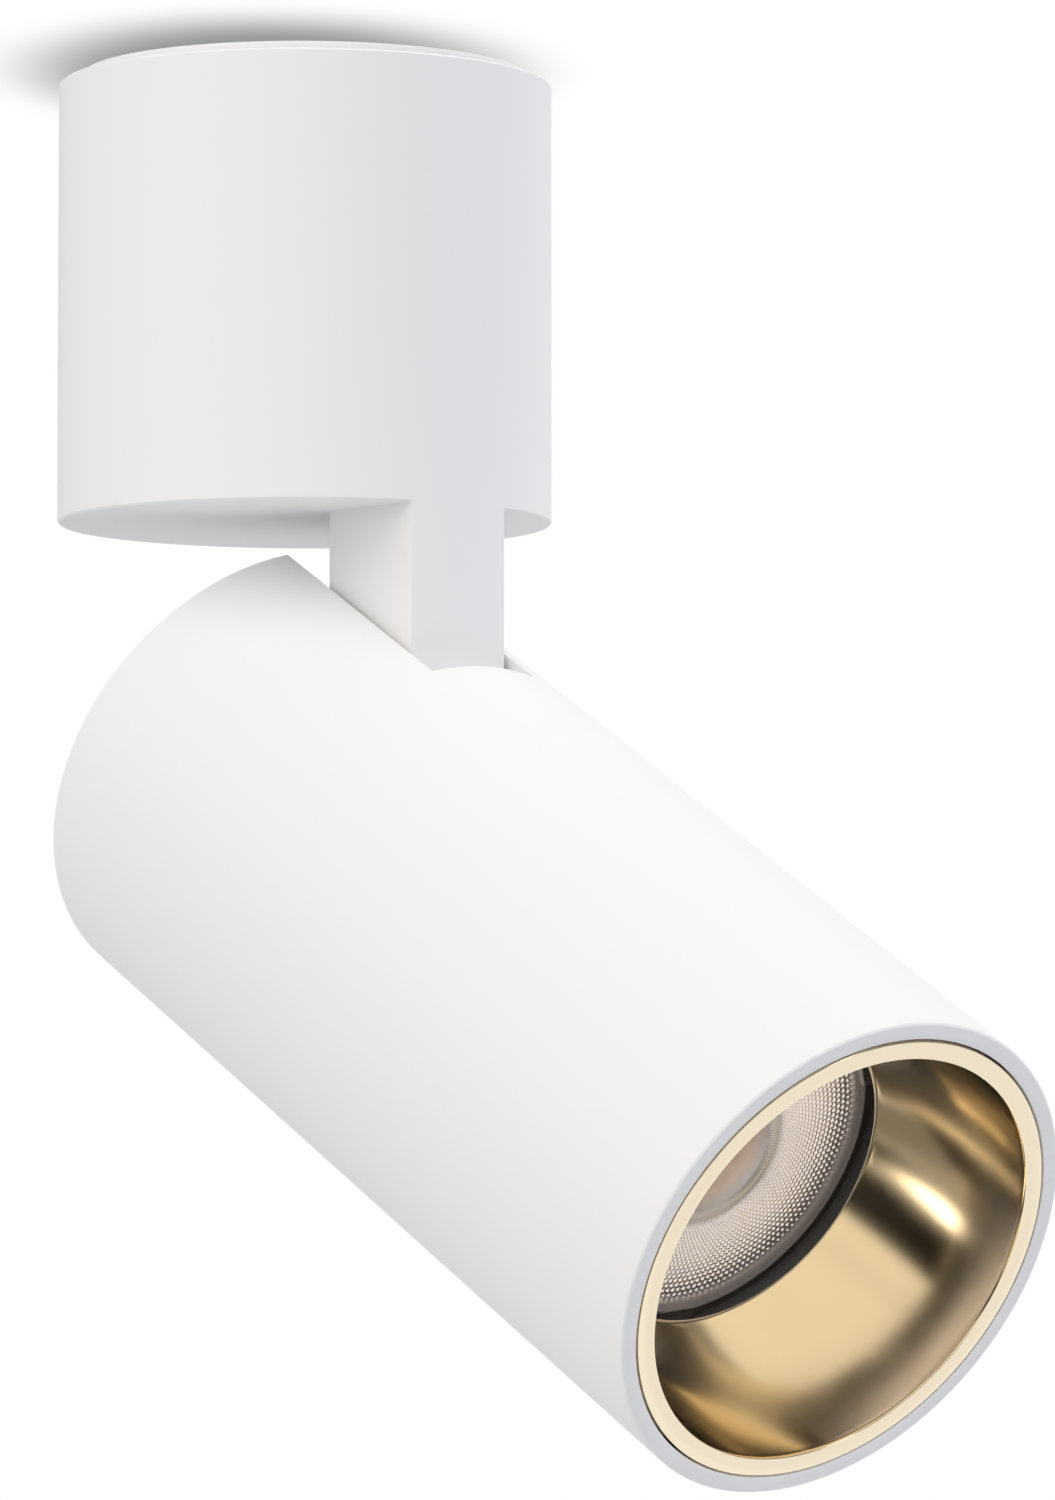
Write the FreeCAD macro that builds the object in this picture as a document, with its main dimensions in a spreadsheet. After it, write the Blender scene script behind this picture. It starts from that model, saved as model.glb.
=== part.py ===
"""Surface mounted ceiling spotlight: a round canopy with an offset arm, and a tilting tube head.

All lengths are in millimetres and all angles in degrees.  The origin is the centre of the
ceiling plate's upper face, +Z is up, and the light hangs below it.  +X is the side that the
head aims to.  The head's pieces are drawn in the head's own frame, with the origin at the
centre of its rear face, -Z towards the mouth and +X towards the arm's slot, and they are set
in place by head_frame.
"""
import FreeCAD, Part
import math
import os
import re
import Sketcher

V = FreeCAD.Vector
DOC = FreeCAD.newDocument("CeilingSpotlight")

# Driving dimensions: one cell each
SIZES = {
    # Canopy and head share one outside diameter
    "body_dia": 75,
    # Ceiling plate and the swivel under it
    "plate_gap": 1.4, "plate_thick": 2.5, "plate_proud": 1.5,
    "mount_spacing": 50, "mount_slot_long": 10, "mount_slot_wide": 4.5,
    "entry_dia": 9, "grommet_wall": 2, "grommet_lip": 1,
    "hub_wall": 4, "hub_flange": 3.5, "hub_flange_thick": 2,
    "swivel_gap": 1, "washer_thick": 0.8, "face_play": 0.05, "run_play": 0.05,
    "carrier_thick": 2.5, "carrier_skirt": 8, "carrier_rim": 2.5, "carrier_hole": 12, "carrier_hole_ring": 24,
    "stop_dia": 1.4, "stop_ring": 15,
    # Canopy and its arm
    "canopy_tall": 67, "canopy_wall": 2, "canopy_floor": 3, "edge_break": 0.3,
    "arm_wide": 17.8, "arm_deep": 19.3, "arm_wall": 2.4,
    "pivot_inset": 13.7, "pivot_drop": 29, "ear_clear": 0.88, "side_gap": 0.95, "end_clear": 0.6,
    "pivot_dia": 8, "pivot_bore": 5, "pivot_flange": 2, "pivot_flange_thick": 1.5,
    "nut_across": 13.2, "nut_thick": 2.5, "nut_proud": 0.5, "spring_thick": 1,
    # Driver in the canopy
    "driver_wide": 38, "driver_tall": 34, "driver_wall": 1.5, "driver_clear": 1.5, "driver_ear": 7,
    "lead_room": 3, "board_thick": 1.6, "feet_wide": 12, "part_inset": 9, "transformer_side": 14,
    "supply_cap_dia": 10, "output_cap_dia": 8, "output_cap_tall": 19, "choke_dia": 9, "choke_tall": 9,
    "terminal_long": 22, "terminal_wide": 16, "terminal_tall": 11, "terminal_pitch": 5,
    "terminal_hole_dia": 4.4, "terminal_hole_level": 3.85,
    "terminal_screw_dia": 3.2, "terminal_screw_level": 6.6, "terminal_screw_inset": 5.5,
    "lead_dia": 2.2, "lead_play": 1, "lead_level": 15, "lead_side": 5, "lead_turn": 6, "lead_rise": 5.5,
    # Head
    "head_long": 150, "tube_wall": 2.5, "tube_lip": 1.25, "tilt": 60,
    "cap_thick": 3, "cap_ledge": 1, "cap_arm_gap": 1.2, "slide_fit": 0.1,
    "yoke_wall": 3, "yoke_base": 4, "post_dia": 6, "post_ring": 27, "yoke_screw_inset": 3.3,
    "sink_base": 8, "sink_core": 22, "fin_thick": 1.6, "fin_count": 20,
    # Light engine
    "lens_depth": 31, "lens_inset": 8, "lens_rim": 2.5, "lens_tall": 17, "lens_tail": 20,
    "lens_shoulder": 2.5, "lens_pocket": 15, "lens_pocket_deep": 7, "pocket_draft": 1.5, "lens_stand": 3,
    "emitter_dia": 13, "emitter_thick": 1, "led_board_dia": 28, "led_frame_thick": 1.2,
    "board_gap": 1, "board_screw_out": 0.5,
    "holder_wall": 1.8, "holder_foot": 2.5, "holder_low": 1.2, "holder_ledge": 1.5, "ledge_clear": 0.4,
    "lens_clip_wide": 6, "lens_clip_thick": 0.6, "lens_clip_tall": 8, "lens_clip_grip": 1.2,
    "lens_clip_tab": 1.2,
    # Baffle
    "face_wide": 2.75, "throat_step": 2.25, "bowl_deep": 26.4, "bowl_bend": 58, "bowl_sheet": 1,
    "trim_gap": 0.35, "trim_deep": 7, "lip_thick": 2, "clip_thick": 0.5, "clip_wide": 6,
    # Fasteners
    "screw_dia": 3, "small_screw_dia": 2, "grub_dia": 3, "thread_play": 0.05,
    "cap_screw_long": 9, "yoke_screw_long": 10, "thread_deep": 4,
}

# Values worked out from the driving dimensions, in order
DERIVED = {
    "canopy_rad": "body_dia / 2",
    "canopy_in": "canopy_rad - canopy_wall",
    "plate_rad": "canopy_in - plate_gap",
    "canopy_low": "-(plate_proud + canopy_tall)",
    "floor_top": "canopy_low + canopy_floor",
    "entry_rad": "entry_dia / 2",
    "hub_in": "entry_rad + grommet_wall",
    "hub_out": "hub_in + hub_wall",
    "hub_rim": "hub_out + hub_flange",
    "carrier_top": "-(plate_thick + swivel_gap)",
    "carrier_low": "carrier_top - carrier_thick",
    "carrier_rad": "canopy_in - slide_fit",
    "hub_flange_top": "carrier_low - washer_thick - 2 * face_play",
    "hub_low": "hub_flange_top - hub_flange_thick",
    "hub_screw_ring": "hub_in + hub_wall / 2",
    "grub_level": "carrier_low - carrier_skirt / 2",
    "arm_half": "arm_wide / 2",
    "arm_front": "sqrt(canopy_rad ^ 2 - arm_half ^ 2)",
    "arm_back": "arm_front - arm_deep",
    "pivot_x": "canopy_rad - pivot_inset",
    "pivot_z": "canopy_low - pivot_drop",
    "pivot_rad": "pivot_dia / 2",
    "slot_half": "arm_half + side_gap",
    "head_rad": "body_dia / 2",
    "ear_reach": "sqrt(head_rad ^ 2 - slot_half ^ 2) - pivot_x",
    "pivot_in": "sqrt((pivot_drop - ear_clear) ^ 2 - ear_reach ^ 2)",
    "slot_end": "pivot_in + pivot_inset + end_clear",
    "slot_floor": "pivot_x - pivot_inset - end_clear",
    "cheek_out": "slot_half + yoke_wall",
    "yoke_low": "-(slot_end + yoke_base)",
    "yoke_screw_ring": "sink_core / 2 - yoke_screw_inset",
    "tube_in": "head_rad - tube_wall",
    "core_rad": "tube_in - slide_fit",
    "cap_seat": "tube_in + cap_ledge",
    "lens_front": "-(head_long - lens_depth)",
    "lens_back": "lens_front + lens_tall",
    "sink_low": "lens_back + lens_stand",
    "lens_rad": "tube_in - lens_inset",
    "holder_in": "lens_rad + slide_fit",
    "holder_rad": "holder_in + holder_wall",
    "led_board_rad": "led_board_dia / 2",
    "led_low": "sink_low - board_thick",
    "frame_low": "led_low - led_frame_thick",
    "board_screw_ring": "(led_board_dia + emitter_dia) / 4 + board_screw_out",
    "holder_foot_in": "led_board_rad + board_gap",
    "holder_screw_ring": "(holder_foot_in + holder_in) / 2",
    "lead_rad": "lead_dia / 2",
    "lead_ring": "holder_screw_ring",
    "trim_rad": "tube_in - trim_gap",
    "mouth_rad": "trim_rad - face_wide",
    "throat_rad": "lens_rad - throat_step",
    "trim_back": "-(head_long - trim_deep)",
    "lip_back": "trim_back + lip_thick",
    "lip_in": "tube_in - tube_lip",
    "clip_out": "sqrt((trim_rad - bowl_sheet) ^ 2 - (clip_wide / 2) ^ 2) - face_play",
    "driver_half": "driver_wide / 2",
    "driver_rear": "-sqrt((canopy_in - driver_clear) ^ 2 - driver_half ^ 2)",
    "driver_fore": "arm_back - lead_room",
    "driver_mid": "(driver_rear + driver_fore) / 2",
    "driver_top": "floor_top + driver_tall",
    "lid_top": "driver_top + driver_wall",
    "terminal_top": "lid_top + terminal_tall",
    "terminal_screw_x": "driver_mid + terminal_long / 2 - terminal_screw_inset",
    "screw_rad": "screw_dia / 2",
    "small_screw_rad": "small_screw_dia / 2",
    "grub_rad": "grub_dia / 2",
}

# Where the screws, holes, posts, clips and leads stand around their axes
HUB_SCREWS = (30, 150, 270)
GRUB_ANGLES = (140, 220)
CARRIER_HOLES = (0, 90, 180, 270)
EARTH_ANGLE = 45
POSTS = (90, 180, 270)
YOKE_SCREWS = (100, 180, 260)
HOLDER_SCREWS = (27, 207)
BOARD_SCREWS = (117, 297)
LENS_CLIPS = (57.5, 171.5, 294.5)
CLIP_ANGLES = (60, 180, 300)
LEAD_ANGLE = -63

# A screw head's radius and height as shares of its shank's radius
SUNK_WIDE, SUNK_TALL = 1.9, 0.9
PAN_WIDE, PAN_TALL = 1.8, 1.2
BOARD_HEAD_WIDE = 1.6
# How much of a straight run each of a lead's bends may take
ARC_SHARE = 0.45


def bind_names(text):
    """Return an expression's text with each size and worked-out value bound to its owner."""
    def owner(match):
        word = match.group(0)
        if word in DERIVED:
            return "Derived." + word
        return "Sizes." + word if word in SIZES else word
    return re.sub(r"[a-z][a-z0-9_]*", owner, text)


def bind(obj, **expressions):
    """Bind properties of an object; a double underscore in a name stands for a dot."""
    for path, text in expressions.items():
        obj.setExpression(path.replace("__", "."), bind_names(text))
    return obj


def make_tables():
    """Make the sheet of driving dimensions and the holder of the worked-out values."""
    sheet = DOC.addObject("Spreadsheet::Sheet", "Sizes")
    for row, (alias, number) in enumerate(SIZES.items(), start=1):
        sheet.set(f"A{row}", alias)
        sheet.set(f"B{row}", str(number))
        sheet.setAlias(f"B{row}", alias)
    DOC.recompute()
    holder = DOC.addObject("App::FeaturePython", "Derived")
    for name, text in DERIVED.items():
        holder.addProperty("App::PropertyFloat", name)
        bind(holder, **{name: text})
    DOC.recompute()
    return sheet, holder


SHEET, HOLDER = make_tables()


def size(name):
    """Return the present number of a size or a worked-out value."""
    return getattr(HOLDER if name in DERIVED else SHEET, name)


def make_head_frame():
    """Return the head's frame: its rear face's centre, turned about the pivot by the tilt."""
    frame = DOC.addObject("App::Placement", "head_frame")
    frame.Placement.Rotation = FreeCAD.Rotation(V(0, -1, 0), 10)
    return bind(
        frame,
        Placement__Rotation__Angle="tilt",
        Placement__Base__x="pivot_x * (1 - cos(tilt)) - pivot_in * sin(tilt)",
        Placement__Base__z="pivot_z - pivot_x * sin(tilt) + pivot_in * cos(tilt)",
    )


HEAD_FRAME = make_head_frame()
NODES = []

# ---------------------------------------------------------------- shapes

TURNS = {
    "x": FreeCAD.Rotation(V(0, 1, 0), 90),
    "y": FreeCAD.Rotation(V(1, 0, 0), -90),
    "z": FreeCAD.Rotation(),
}


def turned(name, profile, bends=None):
    """Return a body turned about Z, from the (radius, height) corners of its half section.

    A side is straight, or an arc that bulges away from the axis where bends gives its radius by
    the number of the corner that it starts from.
    """
    bends = bends or {}
    body = DOC.addObject("PartDesign::Body", name)
    sketch = body.newObject("Sketcher::SketchObject", name + "_section")
    plane = next(part for part in body.Origin.OriginFeatures if part.Role == "XZ_Plane")
    sketch.AttachmentSupport = (plane, [""])
    sketch.MapMode = "FlatFace"
    count = len(profile)
    corners = [V(value(radius), value(height), 0) for radius, height in profile]
    starts, ends = [], []
    for i, corner in enumerate(corners):
        after = corners[(i + 1) % count]
        if i in bends:
            side = Part.Arc(corner, bulged(corner, after, value(bends[i])), after)
        else:
            side = Part.LineSegment(corner, after)
        sketch.addGeometry(side)
        first = 1 if sketch.getPoint(i, 1).distanceToPoint(corner) < 1e-6 else 2
        starts.append(first)
        ends.append(3 - first)
    for i, (radius, height) in enumerate(profile):
        after = (i + 1) % count
        sketch.addConstraint(Sketcher.Constraint("Coincident", i, ends[i], after, starts[after]))
        if radius == "0":
            sketch.addConstraint(Sketcher.Constraint("PointOnObject", i, starts[i], -2))
        else:
            pin(sketch, "DistanceX", f"radius_{i}", i, radius, starts[i])
        if height == "0":
            sketch.addConstraint(Sketcher.Constraint("PointOnObject", i, starts[i], -1))
        else:
            pin(sketch, "DistanceY", f"height_{i}", i, height, starts[i])
    for i, bend in bends.items():
        index = sketch.addConstraint(Sketcher.Constraint("Radius", i, value(bend)))
        sketch.renameConstraint(index, f"bend_{i}")
        sketch.setExpression(f"Constraints.bend_{i}", bind_names(bend))
    turn = body.newObject("PartDesign::Revolution", name + "_turn")
    turn.Profile = sketch
    turn.ReferenceAxis = (sketch, ["V_Axis"])
    turn.Angle = 360
    return body


def value(text):
    """Return the present number of an expression."""
    return float(HOLDER.evalExpression(bind_names(text)))


def bulged(start, end, radius):
    """Return the middle of the arc of a radius from start to end that bulges away from the axis."""
    along = end - start
    half = along.Length / 2
    rise = radius - math.sqrt(radius ** 2 - half ** 2)
    outward = V(along.y, -along.x, 0).normalize()
    return (start + end) * 0.5 + outward * math.copysign(rise, outward.x)


def pin(sketch, kind, name, side, text, end=1):
    """Constrain one coordinate of a side's end to an expression."""
    index = sketch.addConstraint(Sketcher.Constraint(kind, -1, 1, side, end, value(text)))
    sketch.renameConstraint(index, name)
    sketch.setExpression("Constraints." + name, bind_names(text))


def tube(name, inner, outer, top, low):
    """Return a plain ring about Z between two heights."""
    return turned(name, [(inner, top), (outer, top), (outer, low), (inner, low)])


def block(name, x, y, z):
    """Return a box from its (low, high) spans along X, Y and Z."""
    box = DOC.addObject("Part::Box", name)
    return bind(
        box,
        Length=f"({x[1]}) - ({x[0]})", Width=f"({y[1]}) - ({y[0]})", Height=f"({z[1]}) - ({z[0]})",
        Placement__Base__x=x[0], Placement__Base__y=y[0], Placement__Base__z=z[0],
    )


def rod(name, radius, axis, start, end, x="0", y="0", z="0"):
    """Return a round bar along an axis, from start to end, through the other two coordinates."""
    bar = DOC.addObject("Part::Cylinder", name)
    bar.Placement.Rotation = TURNS[axis]
    centre = {"x": x, "y": y, "z": z, axis: start}
    return bind(
        bar,
        Radius=radius, Height=f"({end}) - ({start})",
        Placement__Base__x=centre["x"], Placement__Base__y=centre["y"], Placement__Base__z=centre["z"],
    )


def at_angle(ring, degrees):
    """Return the X and Y expressions of a point on a circle about Z."""
    return f"({ring}) * cos({degrees})", f"({ring}) * sin({degrees})"


def fuse(name, *pieces):
    """Return the union of pieces, or the one piece that there is."""
    if len(pieces) == 1:
        return pieces[0]
    joined = DOC.addObject("Part::MultiFuse", name)
    joined.Shapes = list(pieces)
    return joined


def cut(name, base, *tools):
    """Return a piece less the union of the tools."""
    cutting = DOC.addObject("Part::Cut", name)
    cutting.Base = base
    cutting.Tool = fuse(name + "_tools", *tools)
    return cutting


def common(name, *pieces):
    """Return what the pieces share."""
    shared = DOC.addObject("Part::MultiCommon", name)
    shared.Shapes = list(pieces)
    return shared


def group(name, pieces):
    """Return identical separate solids as one object."""
    together = DOC.addObject("Part::Compound", name)
    together.Links = list(pieces)
    return together


def node(name, obj, on_head=False):
    """Enter a finished piece under its node name, set in the head's frame where it rides there."""
    obj.Label = name
    if on_head:
        obj.setExpression("Placement", "head_frame.Placement")
    NODES.append(obj)
    return obj


def countersunk(name, radius, ring, degrees, top, length, play="0"):
    """Return a countersunk screw, or with play the hole for one, head up at the height top."""
    x, y = at_angle(ring, degrees)
    head = DOC.addObject("Part::Cone", name + "_head")
    bind(
        head,
        Radius1=f"{radius} + {play}", Radius2=f"{radius} * {SUNK_WIDE} + {play}",
        Height=f"{radius} * {SUNK_TALL}",
        Placement__Base__x=x, Placement__Base__y=y, Placement__Base__z=f"{top} - {radius} * {SUNK_TALL}",
    )
    shank = rod(name + "_shank", f"{radius} + {play}", "z", f"{top} - ({length}) - {play}", top, x, y)
    return fuse(name, head, shank)


def pan_screw(name, radius, x, y, seat, length, up="1"):
    """Return a pan head screw with its head on the height seat, above it, or below with up -1."""
    low, high = (f"{seat} - ({length})", seat) if up == "1" else (seat, f"{seat} + {length}")
    tall = f"{radius} * {PAN_TALL}"
    head_low, head_high = (seat, f"{seat} + {tall}") if up == "1" else (f"{seat} - {tall}", seat)
    return fuse(
        name,
        rod(name + "_shank", radius, "z", low, high, x, y),
        rod(name + "_head", f"{radius} * {PAN_WIDE}", "z", head_low, head_high, x, y),
    )


def lead(name, points, radius):
    """Return a round lead whose straight runs through the points are joined by tangent arcs."""
    edges = []
    begin = points[0]
    for before, corner, after in zip(points, points[1:], points[2:]):
        into = (corner - before).normalize()
        out = (after - corner).normalize()
        half_turn = into.getAngle(out) / 2
        reach = ARC_SHARE * min(before.distanceToPoint(corner), corner.distanceToPoint(after))
        bend = reach / math.tan(half_turn)
        first = corner - into * reach
        last = corner + out * reach
        inward = (out - into).normalize()
        middle = corner + inward * (bend / math.cos(half_turn) - bend)
        edges += [Part.LineSegment(begin, first).toShape(), Part.Arc(first, middle, last).toShape()]
        print(f"{name}: bend radius {bend:.2f} mm")
        begin = last
    edges.append(Part.LineSegment(begin, points[-1]).toShape())
    section = Part.Wire([Part.Circle(points[0], points[1] - points[0], radius).toShape()])
    feature = DOC.addObject("Part::Feature", name)
    feature.Shape = Part.Wire(edges).makePipeShell([section], True, False)
    return feature


# ---------------------------------------------------------------- ceiling plate and hub

def obround(name, x, long, wide, low, high):
    """Return a slot's cutter, long way along X, centred on the height of the X axis."""
    reach = f"(({long}) - ({wide})) / 2"
    return fuse(
        name,
        block(name + "_mid", (f"{x} - {reach}", f"{x} + {reach}"),
              (f"-({wide}) / 2", f"({wide}) / 2"), (low, high)),
        rod(name + "_left", f"({wide}) / 2", "z", low, high, f"{x} - {reach}"),
        rod(name + "_right", f"({wide}) / 2", "z", low, high, f"{x} + {reach}"),
    )


def hub_screw_set(name, play="0"):
    """Return the three screws that hold the hub under the plate, or their holes."""
    return [countersunk(f"{name}_{angle}", "small_screw_rad", "hub_screw_ring", angle, "0",
                        "plate_thick + swivel_gap + carrier_thick", play) for angle in HUB_SCREWS]


def make_base():
    """Make what is fixed to the ceiling: plate, hub, screws, grommet, washer and stop pin."""
    plate = tube("plate_disc", "hub_in", "plate_rad", "0", "-plate_thick")
    slots = [obround(f"mount_slot_{side}", f"{side} * mount_spacing / 2", "mount_slot_long", "mount_slot_wide",
                     "-plate_thick - 1", "1") for side in ("-1", "1")]
    pin_hole = rod("plate_pin_hole", "stop_dia / 2 + thread_play", "z", "-plate_thick - 1", "1", y="stop_ring")
    screw_holes = hub_screw_set("plate_bore", "thread_play")
    node("ceiling_plate", cut("plate_cut", plate, *slots, pin_hole, *screw_holes))
    hub = turned("hub_turned", [
        ("hub_in", "-plate_thick"), ("hub_out", "-plate_thick"), ("hub_out", "hub_flange_top"),
        ("hub_rim", "hub_flange_top"), ("hub_rim", "hub_low"), ("hub_in", "hub_low")])
    node("swivel_hub", cut("hub_cut", hub, *hub_screw_set("hub_bore", "thread_play")))
    node("hub_screws", group("hub_screw_set", hub_screw_set("hub_screw")))
    node("cable_grommet", turned("grommet", [
        ("entry_rad", "0"), ("hub_in - face_play", "0"), ("hub_in - face_play", "hub_low"),
        ("hub_in + grommet_lip", "hub_low"), ("hub_in + grommet_lip", "hub_low - grommet_lip"),
        ("entry_rad", "hub_low - grommet_lip")]))
    node("wave_washer", tube("washer_ring", "hub_out + run_play", "hub_rim",
                             "carrier_low - face_play", "hub_flange_top + face_play"))
    node("plate_stop", rod("plate_pin", "stop_dia / 2", "z", "-plate_thick - swivel_gap * 0.8", "0",
                           y="stop_ring"))


# ---------------------------------------------------------------- canopy and arm

def radial_rod(name, radius, degrees, inner, outer, level):
    """Return a round bar that points away from Z at an angle, between two radii."""
    bar = DOC.addObject("Part::Cylinder", name)
    bar.Placement.Rotation = FreeCAD.Rotation(V(0, 0, 1), degrees) * TURNS["x"]
    x, y = at_angle(inner, degrees)
    return bind(bar, Radius=radius, Height=f"({outer}) - ({inner})",
                Placement__Base__x=x, Placement__Base__y=y, Placement__Base__z=level)


def make_canopy():
    """Make the canopy with its arm in one casting, and the carrier ring that it is fixed to."""
    cup = turned("canopy_cup", [
        ("0", "floor_top"), ("canopy_in", "floor_top"), ("canopy_in", "-plate_proud"),
        ("canopy_rad - edge_break", "-plate_proud"), ("canopy_rad", "-plate_proud - edge_break"),
        ("canopy_rad", "canopy_low + edge_break"), ("canopy_rad - edge_break", "canopy_low"),
        ("0", "canopy_low")])
    upper = block("arm_upper", ("arm_back", "canopy_rad"), ("-arm_half", "arm_half"),
                  ("pivot_z", "canopy_low + canopy_floor / 2"))
    end = rod("arm_end_round", "pivot_inset", "y", "-arm_half", "arm_half", x="pivot_x", z="pivot_z")
    end_part = block("arm_end_span", ("arm_back", "canopy_rad + 1"), ("-arm_half", "arm_half"),
                     ("pivot_z - pivot_inset - 1", "pivot_z + 0.5"))
    face = rod("arm_face", "canopy_rad", "z", "pivot_z - pivot_inset - 1", "floor_top")
    arm = common("arm_solid", fuse("arm_blank", upper, common("arm_end", end, end_part)), face)
    channel = block("arm_channel", ("arm_back + arm_wall", "arm_front - arm_wall"),
                    ("-(arm_half - arm_wall)", "arm_half - arm_wall"), ("pivot_z", "floor_top + 1"))
    pivot_hole = rod("arm_pivot_hole", "pivot_rad + thread_play", "y", "-arm_half - 1", "arm_half + 1",
                     x="pivot_x", z="pivot_z")
    grub_holes = [radial_rod(f"canopy_grub_hole_{a}", "grub_rad + thread_play", a, "canopy_in - 1",
                             "canopy_rad + 1", "grub_level") for a in GRUB_ANGLES]
    ear_holes = [rod(f"canopy_ear_hole_{side}", "screw_rad + thread_play", "z", "floor_top - canopy_floor / 2",
                     "floor_top + 1", "driver_mid", f"{side} * (driver_half + driver_ear / 2)")
                 for side in ("-1", "1")]
    casting = fuse("canopy_casting", cup, arm)
    node("canopy", cut("canopy_cut", casting, channel, pivot_hole, *grub_holes, *ear_holes))

    ring = turned("carrier_turned", [
        ("hub_out + run_play", "carrier_top"), ("carrier_rad", "carrier_top"),
        ("carrier_rad", "carrier_low - carrier_skirt"),
        ("carrier_rad - carrier_rim", "carrier_low - carrier_skirt"),
        ("carrier_rad - carrier_rim", "carrier_low"), ("hub_out + run_play", "carrier_low")])
    holes = []
    for angle in CARRIER_HOLES:
        x, y = at_angle("carrier_hole_ring", angle)
        holes.append(rod(f"carrier_hole_{angle}", "carrier_hole / 2", "z",
                         "carrier_low - 1", "carrier_top + 1", x, y))
    grub_seats = [radial_rod(f"carrier_grub_hole_{a}", "grub_rad + thread_play", a,
                             "carrier_rad - carrier_rim - 1", "carrier_rad + 1", "grub_level")
                  for a in GRUB_ANGLES]
    pin_seat = rod("carrier_pin_seat", "stop_dia / 2 + thread_play", "z", "carrier_low - 1", "carrier_top + 1",
                   y="-stop_ring")
    x, y = at_angle("carrier_hole_ring", EARTH_ANGLE)
    earth_seat = rod("earth_seat", "screw_rad + thread_play", "z", "carrier_low - 1", "carrier_top + 1", x, y)
    node("carrier_ring", cut("carrier_cut", ring, *holes, *grub_seats, pin_seat, earth_seat))
    node("carrier_stop", rod("carrier_pin", "stop_dia / 2", "z", "carrier_low",
                             "carrier_top + swivel_gap * 0.8", y="-stop_ring"))
    node("grub_screws", group("grub_screw_set", [
        radial_rod(f"grub_screw_{a}", "grub_rad", a, "carrier_rad - carrier_rim",
                   "canopy_rad - canopy_wall / 4", "grub_level") for a in GRUB_ANGLES]))
    node("earth_screw", pan_screw("earth", "screw_rad", x, y, "carrier_low", "carrier_thick", up="-1"))


def make_driver():
    """Make the driver, its board and screws, the terminal block on its lid and the supply lead."""
    shell = block("case_outer", ("driver_rear", "driver_fore"), ("-driver_half", "driver_half"),
                  ("floor_top", "driver_top"))
    hollow = block("case_hollow", ("driver_rear + driver_wall", "driver_fore - driver_wall"),
                   ("-driver_half + driver_wall", "driver_half - driver_wall"),
                   ("floor_top + driver_wall", "driver_top + 1"))
    ears = block("case_ears", ("driver_mid - driver_ear / 2", "driver_mid + driver_ear / 2"),
                 ("-driver_half - driver_ear", "driver_half + driver_ear"),
                 ("floor_top", "floor_top + driver_wall"))
    ear_holes = [rod(f"case_ear_hole_{side}", "screw_rad + thread_play", "z", "floor_top - 1",
                     "floor_top + driver_wall + 1", "driver_mid", f"{side} * (driver_half + driver_ear / 2)")
                 for side in ("-1", "1")]
    node("driver_case", cut("case_cut", fuse("case_solid", shell, ears), hollow, *ear_holes))
    node("driver_screws", group("driver_screw_set", [
        pan_screw(f"driver_screw_{side}", "screw_rad", "driver_mid", f"{side} * (driver_half + driver_ear / 2)",
                  "floor_top + driver_wall", "driver_wall + canopy_floor / 2") for side in ("-1", "1")]))
    lid = block("lid_plate", ("driver_rear", "driver_fore"), ("-driver_half", "driver_half"),
                ("driver_top", "lid_top"))
    plug = block("lid_plug",
                 ("driver_rear + driver_wall + slide_fit", "driver_fore - driver_wall - slide_fit"),
                 ("-driver_half + driver_wall + slide_fit", "driver_half - driver_wall - slide_fit"),
                 ("driver_top - driver_wall", "driver_top"))
    node("driver_lid", fuse("lid_solid", lid, plug))
    rail = "floor_top + 2 * driver_wall"
    board_top = f"{rail} + board_thick"
    node("driver_board", fuse(
        "board_solid",
        block("board_sheet",
              ("driver_rear + driver_wall + slide_fit", "driver_fore - driver_wall - slide_fit"),
              ("-driver_half + driver_wall + slide_fit", "driver_half - driver_wall - slide_fit"),
              (rail, board_top)),
        block("board_feet", ("driver_mid - feet_wide / 2", "driver_mid + feet_wide / 2"),
              ("-feet_wide / 2", "feet_wide / 2"), ("floor_top + driver_wall", rail))))
    part_top = "driver_top - 3 * driver_wall"
    node("driver_parts", group("driver_part_set", [
        block("transformer", ("driver_mid - transformer_side / 2", "driver_mid + transformer_side / 2"),
              ("-transformer_side / 2", "transformer_side / 2"),
              (board_top, f"{board_top} + transformer_side")),
        rod("supply_capacitor", "supply_cap_dia / 2", "z", board_top, part_top,
            "driver_rear + part_inset", "driver_half - part_inset"),
        rod("output_capacitor", "output_cap_dia / 2", "z", board_top, f"{board_top} + output_cap_tall",
            "driver_fore - part_inset", "-driver_half + part_inset"),
        rod("choke", "choke_dia / 2", "z", board_top, f"{board_top} + choke_tall",
            "driver_rear + part_inset", "-driver_half + part_inset")]))
    rows = [(i, f"{i} * terminal_pitch") for i in ("-1", "0", "1")]
    wire_holes = [rod(f"terminal_hole_{i}", "terminal_hole_dia / 2", "x", "driver_mid - terminal_long",
                      "driver_mid + terminal_long", y=row, z="lid_top + terminal_hole_level")
                  for i, row in rows]
    screw_wells = [rod(f"terminal_well_{i}", "terminal_screw_dia / 2 + thread_play", "z",
                       "lid_top + terminal_screw_level", "terminal_top + 1", "terminal_screw_x", row)
                   for i, row in rows]
    strip = block("terminal_body", ("driver_mid - terminal_long / 2", "driver_mid + terminal_long / 2"),
                  ("-terminal_wide / 2", "terminal_wide / 2"), ("lid_top", "terminal_top"))
    node("terminal_block", cut("terminal_cut", strip, *wire_holes, *screw_wells))
    node("terminal_screws", group("terminal_screw_set", [
        rod(f"terminal_screw_{i}", "terminal_screw_dia / 2", "z", "lid_top + terminal_screw_level",
            "terminal_top - 1", "terminal_screw_x", row) for i, row in rows]))


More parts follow.
